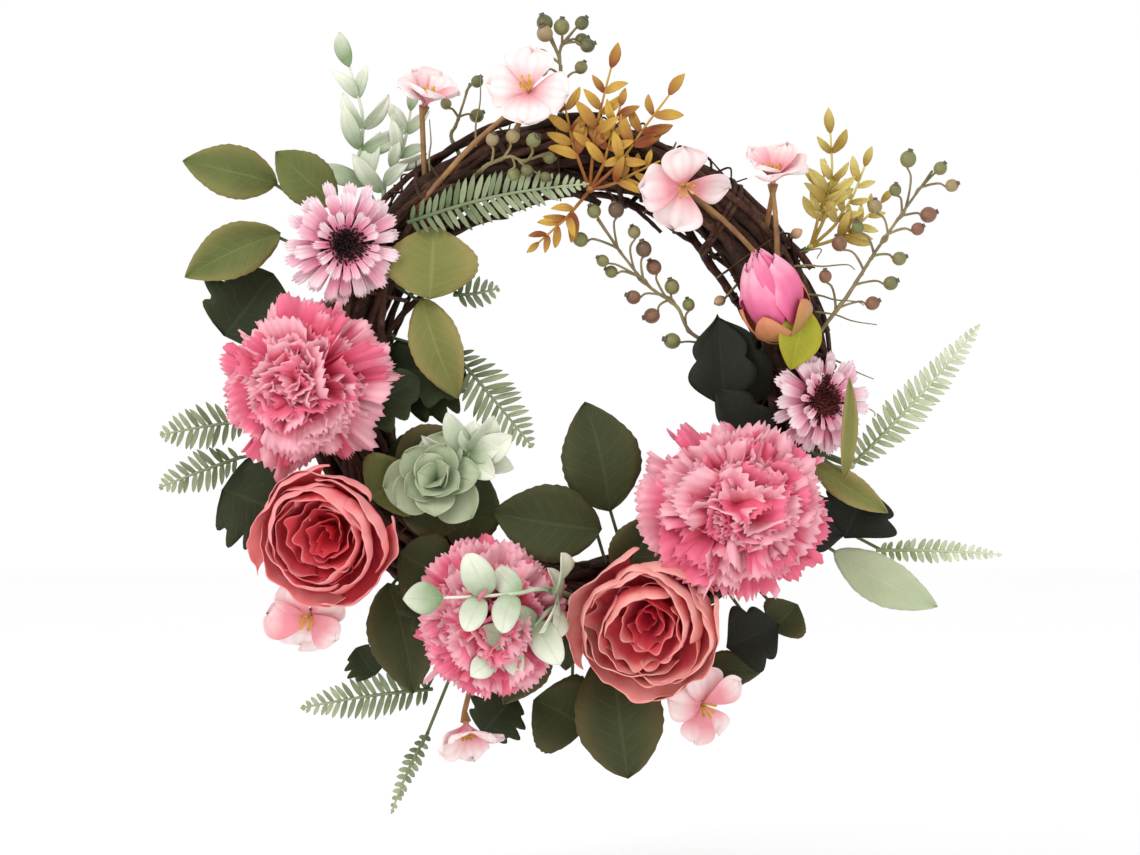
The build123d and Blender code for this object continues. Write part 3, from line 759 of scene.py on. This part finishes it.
def daisy(name, seed_material, keep_off=None):
    """Two layers of notched rays, a collar of short florets and a bristly disc.  Rays that point at
    keep_off stop short of it."""
    rng = seeded(name)
    rays = cad_points(name + "_rays")
    middle, axes = principal(rays)
    axis = axes[2] if axes[2] @ FRONT > 0 else -axes[2]
    radius = np.percentile(off_axis(rays, middle, axis), 99.8)
    base = middle + axis * ((rays - middle) @ axis).min()
    sheets = Sheets()
    for layer, (count, reach, rise, width) in enumerate(DAISY_LAYERS):
        for k in range(count):
            out_dir = spoke(axis, 2 * pi * (k + 0.5 * layer) / count + rng.normal(0, 0.05))
            crowded = keep_off is not None and out_dir @ unit(keep_off - middle) > 0.88
            room = 0.85 if crowded else 1.0
            foot = base + axis * layer * 1.2 * MM + out_dir * 0.12 * radius
            petal(sheets, foot, axis, out_dir, rise + rng.normal(0, 5), rise - rng.uniform(2, 26),
                  radius * reach * room * rng.uniform(0.80, 0.93),
                  radius * width * rng.uniform(0.85, 1.1), rng.random(), rows=10, columns=11,
                  base_width=0.42, fan=True, round_tip=0.10, teeth=2, tooth=radius * 0.09,
                  ruffle=radius * 0.014, waves=3.0, phase=rng.random(), cup=rng.uniform(0.05, 0.3),
                  roll=rng.normal(0, 12))
    place(name + "_layers", sheets, MATERIALS["daisy"], name + "_rays", thickness=PETAL_CLOTH)

    disc = cad_points(name + "_disc")
    centre = disc.mean(0)
    wide = 0.47 * radius * 0.86
    crown = ((disc - centre) @ axis).max()
    foot = centre - axis * (crown + 1 * MM)
    sheets = Sheets()
    for k in range(DAISY_SEEDS):
        share = sqrt((k + 0.5) / DAISY_SEEDS)
        out_dir = spoke(axis, k * GOLDEN_ANGLE)
        start = foot + out_dir * wide * share
        lean = unit(axis + out_dir * 0.7 * share**2 + rng.normal(0, 0.16, 3))
        long = (2 * crown + 1.5 * MM) * rng.uniform(0.75, 1.05) * (1.0 - 0.35 * share**3)
        line = [start, start + lean * long * 0.7, start + lean * long]
        tube(sheets, line, np.array((0.55, 0.6, 0.3)) * MM, sides=5, tone=rng.random())
    place(name + "_seeds", sheets, seed_material, name + "_disc")


def blossom(name, count, rise):
    """A small open blossom of wide, softly folded petals round a tuft of stamens."""
    rng = seeded(name)
    base, axis, radius, _ = head_pose(name)
    sheets = Sheets()
    for k in range(count):
        out_dir = spoke(axis, 2 * pi * k / count + rng.normal(0, 0.16))
        start = rise + rng.uniform(-6, 22)
        petal(sheets, base + axis * rng.uniform(0, 2.0) * MM, axis, out_dir, start + 20,
              start - rng.uniform(20, 58), radius * rng.uniform(0.98, 1.14),
              radius * 1.62 * sin(pi / count) * rng.uniform(0.85, 1.12), rng.random(), rows=12,
              columns=15, base_width=0.16, belly=0.68, teeth=1, tooth=radius * 0.12,
              ruffle=radius * rng.uniform(0.07, 0.13), waves=rng.uniform(1.0, 2.4),
              phase=rng.random(), cup=rng.uniform(-0.06, 0.2), roll=rng.normal(0, 15))
    place(name + "_open", sheets, MATERIALS["blossom"], name + "_petals", PETAL_CLOTH, subdivide=1)

    sheets = Sheets()
    stamens = 7
    for k in range(stamens):
        lean = unit(axis + spoke(axis, 2 * pi * k / stamens) * rng.uniform(0.2, 0.5))
        tip = base + lean * radius * rng.uniform(0.38, 0.5)
        line = [base, (base + tip) / 2 + axis * 0.4 * MM, tip, tip + lean * 1.1 * MM]
        tube(sheets, line, np.array((0.3, 0.3, 0.75, 0.35)) * MM, sides=6)
    extra(name + "_stamens", sheets, MATERIALS["pollen"])


# share of the radius and of the height, inward lip, petals, how far round each goes, and where the
# first one stands
BUD_WHORLS = (
    (0.42, 0.92, -0.80, 2, 230, 0.4), (0.66, 1.0, -0.84, 3, 190, 1.3),
    (0.86, 1.02, -0.80, 3, 170, 2.2), (1.0, 0.94, -0.58, 3, 150, 3.4),
)


def rosebud():
    """A half-shut bud: petals rolled round each other, with sepals and one bright leaf."""
    rng = seeded("rosebud")
    points = cad_points("rosebud_petals")
    middle, axes = principal(points)
    stem = cad_points("rosebud_stem").mean(0)
    axis = max((a * s for a in axes for s in (1, -1)), key=lambda a: a @ unit(middle - stem))
    along = (points - middle) @ axis
    base = middle + axis * along.min()
    tall = np.ptp(along)
    radius = np.percentile(off_axis(points, base, axis), 99.5)
    sheets = Sheets()
    for out, up, lip, count, spread, start in BUD_WHORLS:
        for k in range(count):
            cupped(sheets, base, axis, start + 2 * pi * k / count, radians(spread),
                   radius * out * (1 + 0.05 * (k % 2)), tall * up * rng.uniform(0.94, 1.02), lip,
                   0.15 + 0.75 * (out - 0.4) + rng.normal(0, 0.05), rng, wave=0.045, dip=0.34, foot=0.3)
    place("rosebud_wraps", sheets, MATERIALS["bud"], "rosebud_petals", STIFF_CLOTH, subdivide=1)

    sheets = Sheets()
    sepals = 5
    for k in range(sepals):
        petal(sheets, base - axis * 1.5 * MM, axis, spoke(axis, 0.5 + 2 * pi * k / sepals), 6, 96,
              tall * rng.uniform(0.66, 0.86), radius * 1.12, rng.random(), rows=13, columns=7,
              base_width=0.45, belly=0.4, cup=0.12)
    extra("rosebud_sepals", sheets, MATERIALS["sepal"], thickness=PETAL_CLOTH)

    sheets = Sheets()
    # the bright leaf hangs from the foot of the bud, on its right
    leaf_foot = base + np.array((9, -10, 11)) * MM
    blade(sheets, leaf_foot, unit((-0.25, -0.1, -1)), unit((0.25, -1, 0.1)), 29 * MM, 21 * MM, 0.5, rng,
          teeth=0)
    extra("rosebud_leaf", sheets, MATERIALS["leaf_yellow"], thickness=STIFF_CLOTH)


# ---- leaves and sprays -------------------------------------------
def leaves(node, choose, **shape):
    """The node's leaves, one piece for each material.  choose gives a leaf's material from its middle."""
    rng = seeded(node)
    groups = {}
    for points in islands(node):
        base, way, face, length, width = blade_pose(points)
        sheets = groups.setdefault(choose(points.mean(0)), Sheets())
        blade(sheets, base, way, face, length, width, rng.random(), rng, **shape)
    for key, sheets in groups.items():
        place(f"{node}_{key}", sheets, MATERIALS[key], node, thickness=LEAF_CLOTH)


def fronds(node, material):
    """Fern fronds: a rachis with narrow paired leaflets that shorten to the tip."""
    rng = seeded(node)
    sheets = Sheets()
    pitch = 3.4 * MM
    for points in islands(node):
        base, way, face, length, width = blade_pose(points)
        width *= 1.2
        if BODY_OF[node] != "wreath":
            base = base + way * BALL
            length -= BALL
            knuckle(sheets, base)
        side = np.cross(face, way)
        s = np.linspace(0, 1, 24)
        curve = rng.uniform(-0.05, 0.05) * length
        line = base + np.outer(s * length, way) + np.outer(np.sin(pi * s) * curve, side)
        tube(sheets, line, np.linspace(0.9, 0.35, 24) * MM, sides=6)
        count = int(length / pitch)
        for k in range(count):
            share = (k + 0.8) / count
            envelope = min(1.0, 0.45 + 1.6 * share) * (1 - share**2.2) ** 0.75 + 0.06
            at = base + way * length * share * 0.98 + side * np.sin(pi * share) * curve
            for sign in (1, -1):
                slant = way * (0.35 + 0.35 * share)
                out_dir = unit(side * sign + slant + rng.normal(0, 0.05, 3))
                petal(sheets, at + way * rng.normal(0, 0.3) * MM, face, out_dir, rng.uniform(4, 16),
                      rng.uniform(-24, 2), width / 2 * envelope * rng.uniform(0.9, 1.04),
                      2.3 * MM * (0.7 + 0.5 * envelope), rng.random(), columns=5, base_width=0.55,
                      belly=0.42, cup=0.15, along=(share * 0.75, share * 0.75 + 0.3),
                      roll=rng.normal(0, 10))
    place(node + "_leaflets", sheets, material, node, thickness=STIFF_CLOTH)


def turned_line(line, degrees, scale):
    """The line turned clockwise about its foot, as seen from the front, and scaled."""
    a = radians(degrees)
    x, y, z = (line - line[0]).T
    return line[0] + scale * np.stack([x * cos(a) + z * sin(a), y, z * cos(a) - x * sin(a)], 1)


def leafy(node, material, stations, long, wide, splay, sprigs, first=0.22, droop=0.12, teeth=0,
          blunt=0.75, bend=0.0, stem=1.1 * MM):
    """Stems with leaves in pairs and one at each tip.  sprigs are the turn and scale of each stem from
    the CAD spray's line."""
    rng = seeded(node)
    sheets = Sheets()
    main = smooth_line(spine(cad_points(node), 5), 26)
    knuckle(sheets, main[0])
    for degrees, scale in sprigs:
        line = turned_line(main, degrees, scale)
        sway = np.cross(FRONT, unit(line[-1] - line[0])) * np.sign(degrees or 1) * bend * scale
        line = line + np.outer(np.linspace(0, 1, len(line)) ** 2, sway)
        tangents = frames_along(line)[0]
        thin = np.linspace(stem, stem * 0.45, len(line))
        tube(sheets, line, thin, sides=7, bumps=0.1, rng=rng)
        for k in range(stations):
            share = first + (0.97 - first) * k / max(stations - 0.5, 1)
            for sign in (1, -1):
                index = int(np.clip(share + rng.normal(0, 0.02), 0, 1) * (len(line) - 1))
                ahead = tangents[index]
                face = unit(FRONT - ahead * (FRONT @ ahead))
                side = np.cross(face, ahead) * sign
                angle = radians(splay * rng.uniform(0.7, 1.2))
                way = unit(ahead * cos(angle) + side * sin(angle) + face * rng.uniform(-0.2, 0.4))
                size = rng.uniform(0.75, 1.12) * (1 - 0.3 * share) * (0.6 + 0.4 * scale)
                blade(sheets, line[index], way, unit(face + side * rng.uniform(-0.5, 0.7)),
                      long * size, wide * size, rng.random(), rng, teeth=teeth, droop=droop,
                      blunt=blunt, rows=15, columns=7)
        ahead = tangents[-1]
        face = unit(FRONT - ahead * (FRONT @ ahead))
        blade(sheets, line[-1], ahead, face, long * 0.7 * scale, wide * 0.8 * scale, rng.random(), rng,
              teeth=teeth, droop=droop, rows=15, columns=7)
    place(node + "_leafy", sheets, material, node, thickness=STIFF_CLOTH)


# the shoot's leaves: clock angle in degrees, length and width in mm, and point of the shoot's 14
SHOOT_LEAVES = (
    (-62, 25, 10, 10), (-28, 23, 12, 12), (8, 15, 13, 13), (38, 22, 14, 13), (66, 24, 15, 12),
    (98, 22, 13, 11), (128, 18, 13, 12), (30, 14, 10, 13), (82, 15, 11, 13),
)
ROSETTE_LEAVES = 15


def rosette(node):
    """The middle eucalyptus: a rosette of round sage leaves with a fan of whitish ones above it."""
    rng = seeded("rosette")
    low, high = (np.array(corner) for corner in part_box(node))
    span = high - low
    line = smooth_line(spine(cad_points(node), 5), 20)
    centre = np.array((low[0] + span[0] * 0.22, low[1] - 4 * MM, low[2] + span[2] * 0.36))
    axis = unit(FRONT + 0.25 * UP - np.array((0.15, 0, 0)))
    sheets = Sheets()
    bow = (line[0] + centre) / 2 - FRONT * 4 * MM
    tube(sheets, smooth_line([line[0], bow, centre - axis * 5 * MM, centre], 16), 1.3 * MM)
    for k in range(ROSETTE_LEAVES):
        share = k / (ROSETTE_LEAVES - 1)
        out_dir = spoke(axis, k * GOLDEN_ANGLE + rng.normal(0, 0.15))
        rise = 6 + 62 * share**1.2
        petal(sheets, centre + axis * share * 3 * MM, axis, out_dir, rise + 18, rise - 26,
              (26 - 12 * share) * MM, (24 - 11 * share) * MM, rng.random(), rows=13, columns=11,
              base_width=0.3, cup=0.14, ruffle=0.8 * MM, waves=1.4, phase=rng.random(),
              roll=rng.normal(0, 8))
    place(node + "_rosette", sheets, MATERIALS["sage"], node, thickness=LEAF_CLOTH, subdivide=1)

    sheets = Sheets()
    tip = np.array((low[0] + span[0] * 0.62, low[1] - 9 * MM, low[2] + span[2] * 0.62))
    shoot = smooth_line([line[0], line[8] + FRONT * 6 * MM, tip], 14)
    tube(sheets, shoot, np.linspace(1.3, 0.8, 14) * MM)
    for degrees, long, wide, start in SHOOT_LEAVES:
        a = radians(degrees)
        way = unit(np.array((sin(a), -0.25 - 0.3 * rng.random(), cos(a))))
        blade(sheets, shoot[start], way, unit(FRONT + rng.normal(0, 0.3, 3)), long * MM, wide * MM,
              rng.random(), rng, teeth=0, droop=rng.uniform(-0.05, 0.2), blunt=0.6, rows=15)
    place(node + "_shoot", sheets, MATERIALS["sage_white"], node, thickness=LEAF_CLOTH, subdivide=1)


def berry(fruit, rng, centre, size, way, tones):
    """A slightly lumpy fruit with a dry crown at the end that faces away from its stalk."""
    side, other = around(way)
    rise = np.linspace(-pi / 2, pi / 2, 12)[:, None]
    turn = np.linspace(0, 2 * pi, 16, endpoint=False)[None, :]
    skin = size * (1 + 0.04 * np.sin(3 * turn + rng.uniform(0, 6)) * np.cos(rise)) * np.cos(rise)
    height = size * 1.06 * np.sin(rise) * np.ones_like(turn)
    points = centre + (skin * np.cos(turn))[..., None] * side
    points = points + (skin * np.sin(turn))[..., None] * other + height[..., None] * way
    fruit.grid(points, (np.sin(rise) + 1) / 2, turn / ANY_PHASE, rng.choice(tones), closed=True)
    crown = [centre + way * size * reach for reach in (0.95, 1.12, 1.28)]
    tube(fruit, crown, np.array([0.42, 0.30, 0.36]) * size, tone=1.0)


def berry_spray(name, tones, knot=1):
    """Branching twigs with a berry on each pedicel, placed on the CAD fruit.  Pedicels leave the twig
    in bunches, knot steps apart."""
    rng = seeded(name)
    twigs, fruit = Sheets(), Sheets()
    lines = [smooth_line(spine(points, 6), 40) for points in islands(name + "_stems")]
    for line in lines:
        tube(twigs, line, np.linspace(1.1, 0.55, len(line)) * MM, bumps=0.14, rng=rng)
        knuckle(twigs, line[0])
    for points in islands(name + "_fruit"):
        centre = (points.min(0) + points.max(0)) / 2 + rng.normal(0, 1.7 * MM, 3)
        size = np.ptp(points, axis=0).mean() / 2 * rng.uniform(0.68, 0.98)
        line = min(lines, key=lambda twig_line: np.linalg.norm(twig_line - centre, axis=1).min())
        gaps = np.linalg.norm(line - centre, axis=1)
        near = int(gaps.argmin())
        step = max(np.linalg.norm(line[-1] - line[0]) / len(line), 1e-6)
        index = max(0, near - int(gaps[near] / step * 0.9)) // knot * knot
        start = line[index]
        tangent = unit(line[min(index + 1, len(line) - 1)] - line[max(index - 1, 0)])
        way = unit(unit(centre - start) + tangent * 0.25)
        bend = start + tangent * np.linalg.norm(centre - start) * 0.45 + rng.normal(0, 0.8, 3) * MM
        end = centre - way * size * 0.85
        stalk = smooth_line([start, (start + bend) / 2, (bend + centre) / 2, end], 12)
        tube(twigs, stalk, np.linspace(0.75, 0.5, 12) * MM, sides=6, bumps=0.12, rng=rng, tone=0.4)
        berry(fruit, rng, centre, size, way, tones)
    place(name + "_twigs", twigs, MATERIALS["twig"], name + "_stems")
    place(name + "_berries", fruit, MATERIALS["berry"], name + "_fruit")


# ---- the ring ----------------------------------------------------
FRONT_STEMS, BACK_STEMS, CORE_STEMS = 44, 32, 9
STRAY_ENDS = 34
COILED_ENDS = 9


def twig(sheets, rng, start, sweep, depth, phase, radius, twist=1.6, loose=0.0):
    """A vine stem that runs inside the bundle for some way and wanders between its neighbours."""
    count = max(14, int(sweep / 0.06))
    t = np.linspace(0, 1, count)
    wander = rng.uniform(0, ANY_PHASE, 4)
    angle = phase + twist * t * sweep + 0.5 * np.sin(3.1 * t * sweep + wander[0])
    freed = loose * np.clip((t - 0.86) / 0.14, 0, 1) ** 1.5
    reach = depth * (1 + 0.16 * np.sin(4.7 * t * sweep + wander[1])) + freed
    line = ring_line(start + sweep * t, reach * np.cos(angle), reach * np.sin(angle))
    line += rng.normal(0, 0.25 * MM, line.shape)
    thick = radius * (0.75 + 0.5 * np.sin(pi * t) ** 0.4) * (1 + 0.12 * np.sin(23 * t + wander[2]))
    thick = np.interp(np.linspace(0, 1, count * 2), t, thick)
    tube(sheets, smooth_line(line, count * 2), thick, tone=rng.random(), bumps=0.13, rng=rng)


def canes():
    """The bundle: a core, and long twisted vine stems round it at the front and at the back."""
    halves = (("vine_front_canes", pi / 2, FRONT_STEMS), ("vine_back_canes", -pi / 2, BACK_STEMS))
    for node, phase, count in halves:
        rng = seeded(node)
        sheets = Sheets()
        for _ in range(count):
            twig(sheets, rng, rng.uniform(0, 2 * pi), rng.uniform(2.2, 5.4),
                 BUNDLE * rng.uniform(0.45, 0.97), phase + rng.uniform(-1.5, 1.5),
                 rng.uniform(0.9, 2.3) * MM, twist=rng.choice([-0.9, -0.3, 0.3, 0.8]),
                 loose=rng.choice([0, 3, 6, 11]) * MM)
        place(node + "_stems", sheets, MATERIALS["bark"], node)
    rng = seeded("core")
    sheets = Sheets()
    for k in range(CORE_STEMS):
        twig(sheets, rng, rng.uniform(0, 2 * pi), 2 * pi, BUNDLE * 0.3, k * 0.7, 3.6 * MM, twist=1.0)
    place("vine_core_stems", sheets, MATERIALS["bark"], "vine_core_cane")


def wraps(sheets, rng):
    """The vines that are wound slantwise round the bundle."""
    for points in islands("vine_wraps"):
        middle = points.mean(0) - RING_CENTRE
        clock = atan2(middle[0], middle[2])
        turns = rng.uniform(1.1, 1.7)
        t = np.linspace(0, 1, 44)
        begin = rng.uniform(0, ANY_PHASE)
        drift = rng.choice([-1, 1]) * rng.uniform(0.22, 0.55)
        swing = begin + turns * ANY_PHASE * t
        line = ring_line(clock + drift * (t - 0.5) + 0.015 * np.sin(9 * t),
                         BUNDLE * 0.98 * np.cos(swing), BUNDLE * 0.98 * np.sin(swing))
        line += rng.normal(0, 0.2 * MM, line.shape)
        tube(sheets, line, rng.uniform(1.0, 1.7) * MM, sides=7, tone=rng.random() * 0.7, bumps=0.12,
             rng=rng)


def stray_ends(sheets, rng):
    """Ends that spring from the bundle, mostly where the flowers leave it bare."""
    t = np.linspace(0, 1, 16)
    for _ in range(STRAY_ENDS):
        clock = radians(rng.uniform(-62, 88))
        direction = rng.choice([-1, 1])
        long = rng.uniform(0.14, 0.42)
        spring = rng.uniform(3, 12) * MM
        swing = rng.uniform(-0.9, 2.4) + 0.5 * t
        line = ring_line(clock + direction * long * t, (BUNDLE * 0.7 + spring * t**2) * np.cos(swing),
                         (BUNDLE * 0.7 + spring * 0.6 * t**2) * np.sin(swing))
        thin = np.linspace(1.5, 0.45, 16) * rng.uniform(0.6, 1.2) * MM
        tube(sheets, line, thin, sides=6, tone=rng.random(), bumps=0.1, rng=rng)


def coiled_ends(sheets, rng):
    """Dry tendrils that coil on the front of the bundle."""
    t = np.linspace(0, 1, 40)
    for _ in range(COILED_ENDS):
        clock = radians(rng.uniform(-50, 80))
        coil = rng.uniform(2.0, 4.0) * MM
        line = ring_line(clock + 0.16 * t, BUNDLE * 0.9 + coil * np.cos(12 * t) + 4 * MM * t,
                         6 * MM + coil * np.sin(12 * t))
        tube(sheets, line, np.linspace(0.7, 0.35, 40) * MM, sides=5, tone=0.3)


def vine_ring():
    """The bundle and all that binds it or springs from it."""
    canes()
    rng = seeded("wraps")
    sheets = Sheets()
    wraps(sheets, rng)
    stray_ends(sheets, rng)
    coiled_ends(sheets, rng)
    place("vine_binding", sheets, MATERIALS["bark"], "vine_wraps")


# ---- small pieces between the flowers ----------------------------
# where a blossom's stalk enters the vines: clock angle in degrees, and out from the middle in mm
STALKS = {"blossom_top": (-43, 4), "blossom_upper_right": (68, 6), "blossom_right": (60, 8)}


def long_stalks():
    """Golden stalks that lie over the bundle from a blossom's calyx to where they enter the vines."""
    rng = seeded("stalks")
    sheets = Sheets()
    for name, (clock, out) in STALKS.items():
        base, axis, _, _ = head_pose(name)
        start = base - axis * 2 * MM
        end = on_ring(radians(clock), out * MM, BUNDLE * 0.7)
        way = end - start
        bow = start + way * 0.5 + FRONT * 5 * MM + UP * 3 * MM
        skin = on_ring(radians(clock), out * MM, BUNDLE * 1.06) - way * 0.12
        line = smooth_line([start, bow, skin, end], 30)
        tube(sheets, line, np.linspace(1.15, 1.5, 30) * MM, bumps=0.12, rng=rng)
    extra("long_stalks", sheets, MATERIALS["stem_brown"])


TENDRIL_CLOCKS = (58, 63, 70, 74, 84, 91, -34, -22)
# clock angle in degrees, and how far out and forward of the bundle's middle in mm
BUD_PLACES = ((62, -22, 10), (87, 16, 16), (92, 12, 20), (86, -20, 12), (99, 6, 22), (57, 20, 8))


def tendrils():
    """Thin curly shoots and small buds that stand off the vines."""
    rng = seeded("tendrils")
    curls, buds = Sheets(), Sheets()
    t = np.linspace(0, 1, 44)
    for clock in TENDRIL_CLOCKS:
        long = rng.uniform(14, 30) * MM
        coil = rng.uniform(1.5, 4.5) * MM * t
        turns = rng.uniform(5, 11)
        lift = BUNDLE * rng.uniform(0.2, 0.9)
        line = ring_line(radians(clock) + 0.1 * t, BUNDLE * 0.75 + long * t + coil * np.sin(turns * t),
                         lift + coil * np.cos(turns * t))
        tube(curls, line, np.linspace(0.6, 0.25, 44) * MM, sides=5)
    profile = np.linspace(0, 1, 9)
    plump = 2.6 * MM * np.sin(pi * np.clip(profile, 0.03, 0.97)) ** 0.6
    for clock, out, lift in BUD_PLACES:
        centre = on_ring(radians(clock), out * MM, lift * MM)
        way = unit(centre - on_ring(radians(clock), 0, 0))
        root = on_ring(radians(clock) - 0.03, 0, 0) + way * BUNDLE * 0.8
        bow = (root + centre) / 2 + FRONT * 1 * MM
        tube(curls, smooth_line([root, bow, centre], 10), 0.6 * MM, sides=6)
        line = [centre + way * 6.5 * MM * a for a in profile]
        tube(buds, line, plump, sides=10, tone=rng.random(), bumps=0.04, rng=rng)
    extra("vine_tendrils", curls, MATERIALS["twig"])
    extra("vine_buds", buds, MATERIALS["bud_fruit"])


# leaves that spring from the bundle between the flowers and hide the vines there: foot as clock angle
# in degrees, out and lift in mm, then the clock angle they point to, length and width in mm
FILLERS = {
    "leaf_dark": (
        (-86, -14, 0, 100, 44, 36), (-100, 2, 18, 60, 40, 30), (-140, 10, 18, 150, 42, 32),
        (-112, -12, 12, 100, 38, 28), (-66, 8, 17, 20, 34, 26),
    ),
    "leaf_deep": (
        (-118, -12, 20, 60, 40, 26), (-146, -10, 20, 20, 38, 26), (-172, 12, 18, 200, 40, 26),
        (166, -8, 20, 30, 38, 26), (142, -12, 18, -40, 36, 24), (-128, -4, 22, 90, 34, 24),
    ),
    "leaf_black": (
        (110, -6, 20, -40, 40, 26), (96, -12, 17, -30, 46, 24), (128, 14, 18, 90, 36, 22),
        (170, 10, 18, 160, 38, 24),
    ),
}


def fillers(key, **shape):
    """One piece of filler leaves, in the material called key."""
    rng = seeded("filler " + key)
    sheets = Sheets()
    for clock, out, lift, points_to, length, width in FILLERS[key]:
        foot = on_ring(radians(clock), out * MM, lift * MM)
        turn = radians(points_to)
        way = unit((sin(turn), -rng.uniform(0.05, 0.3), cos(turn)))
        face = unit(FRONT + rng.normal(0, 0.25, 3))
        blade(sheets, foot, way, face, length * MM, width * MM, rng.random(), rng, **shape)
    extra("filler_" + key, sheets, MATERIALS[key], thickness=LEAF_CLOTH)


# ---- everything in place -----------------------------------------
studio()
vine_ring()
for name in ("carnation_left", "carnation_bottom", "carnation_right"):
    carnation(name)
rose("rose_left", MATERIALS["rose_coral"])
rose("rose_right", MATERIALS["rose_peach"])
daisy("daisy_left", MATERIALS["seed_dark"])
spray_ball = spine(islands("berries_right_stems")[0], 6)[0]
daisy("daisy_right", MATERIALS["seed_red"], keep_off=spray_ball)
rosebud()
# petals, and how far they rise above the flat in degrees
BLOSSOMS = {
    "blossom_top_left": (5, 30), "blossom_top": (4, 12), "blossom_upper_right": (4, 6),
    "blossom_right": (5, 34), "blossom_lower_left": (5, 10), "blossom_bottom": (6, 40),
    "blossom_lower_right": (5, 12),
}
for name, (count, rise) in BLOSSOMS.items():
    blossom(name, count, rise)

leaves("leaves_upper_left", lambda middle: "leaf")
for node in ("leaves_centre", "leaves_lower_left", "leaves_bottom"):
    leaves(node, lambda middle: "leaf_deep")
leaves("leaves_inner_left", lambda middle: "leaf_light" if middle[2] > -0.1 else "leaf")


def right_leaf(middle):
    """One pale leaf low down, two long light ones by the daisy and two small olive ones."""
    if middle[0] > 0.14:
        return "leaf_pale"
    return "leaf_light" if middle[2] > -0.16 else "leaf_deep"


leaves("leaves_right", right_leaf)
DARK_SHAPE = {"lobes": 4, "droop": 0.05, "blunt": 0.6}
BLACK_SHAPE = {"lobes": 2, "droop": 0.05}
leaves("dark_leaves_left", lambda middle: "leaf_dark", **DARK_SHAPE)
leaves("dark_leaves_right", lambda middle: "leaf_black", blunt=1.25, **BLACK_SHAPE)

for node in ("fern_top", "ferns_inner", "ferns_left", "fern_bottom"):
    fronds(node, MATERIALS["fern"])
for node in ("fern_tip_right", "fern_right"):
    fronds(node, MATERIALS["fern_pale"])

leafy("eucalyptus_top", MATERIALS["sage_white"], 4, 27 * MM, 10 * MM, 38,
      ((0, 1.0), (26, 0.72)), bend=3 * MM)
rosette("eucalyptus_centre")
leafy("eucalyptus_bottom", MATERIALS["sage_white"], 3, 27 * MM, 19 * MM, 70,
      ((-14, 1.0), (-50, 0.75)), blunt=0.55, droop=0.2, bend=4 * MM)
GOLD_SHAPE = {"teeth": 5, "stem": 0.75 * MM, "first": 0.35}
leafy("gold_spray_top", MATERIALS["gold"], 4, 18 * MM, 6.4 * MM, 50,
      ((-4, 1.0), (-30, 0.8), (24, 0.72), (44, 1.0), (72, 0.62), (-150, 0.6)), bend=9 * MM, **GOLD_SHAPE)
leafy("gold_spray_right", MATERIALS["gold_light"], 4, 18 * MM, 6 * MM, 46,
      ((4, 1.0), (-8, 0.64), (28, 0.84), (52, 0.72)), bend=6 * MM, **GOLD_SHAPE)

# the numbers are shades of the berry_skin, from green to brown
berry_spray("berries_top", (0.0, 0.2, 0.35, 0.6))
berry_spray("berries_ring", (0.1, 0.35, 0.45, 0.6))
berry_spray("berries_inner", (0.35, 0.5, 0.85, 1.0), knot=8)
berry_spray("berries_right", (0.2, 0.35, 0.6, 0.8), knot=5)
long_stalks()
tendrils()
fillers("leaf_dark", **DARK_SHAPE)
fillers("leaf_deep")
fillers("leaf_black", blunt=1.0, **BLACK_SHAPE)

# CAD nodes that are shown as they are, with a new finish
KEPT = {
    "stem_green": (
        "carnation_left_stem", "carnation_bottom_stem", "carnation_right_stem", "rose_left_stem",
        "rose_right_stem", "daisy_left_stem", "daisy_right_stem", "rosebud_stem", "leaf_wires",
        "spray_roots",
    ),
    "stem_brown": ("blossom_stems",),
    "wire": ("wire_ties",),
}
for finish, nodes in KEPT.items():
    for node in nodes:
        part = frame["nodes"][node]
        part.data.materials.clear()
        part.data.materials.append(MATERIALS[finish])
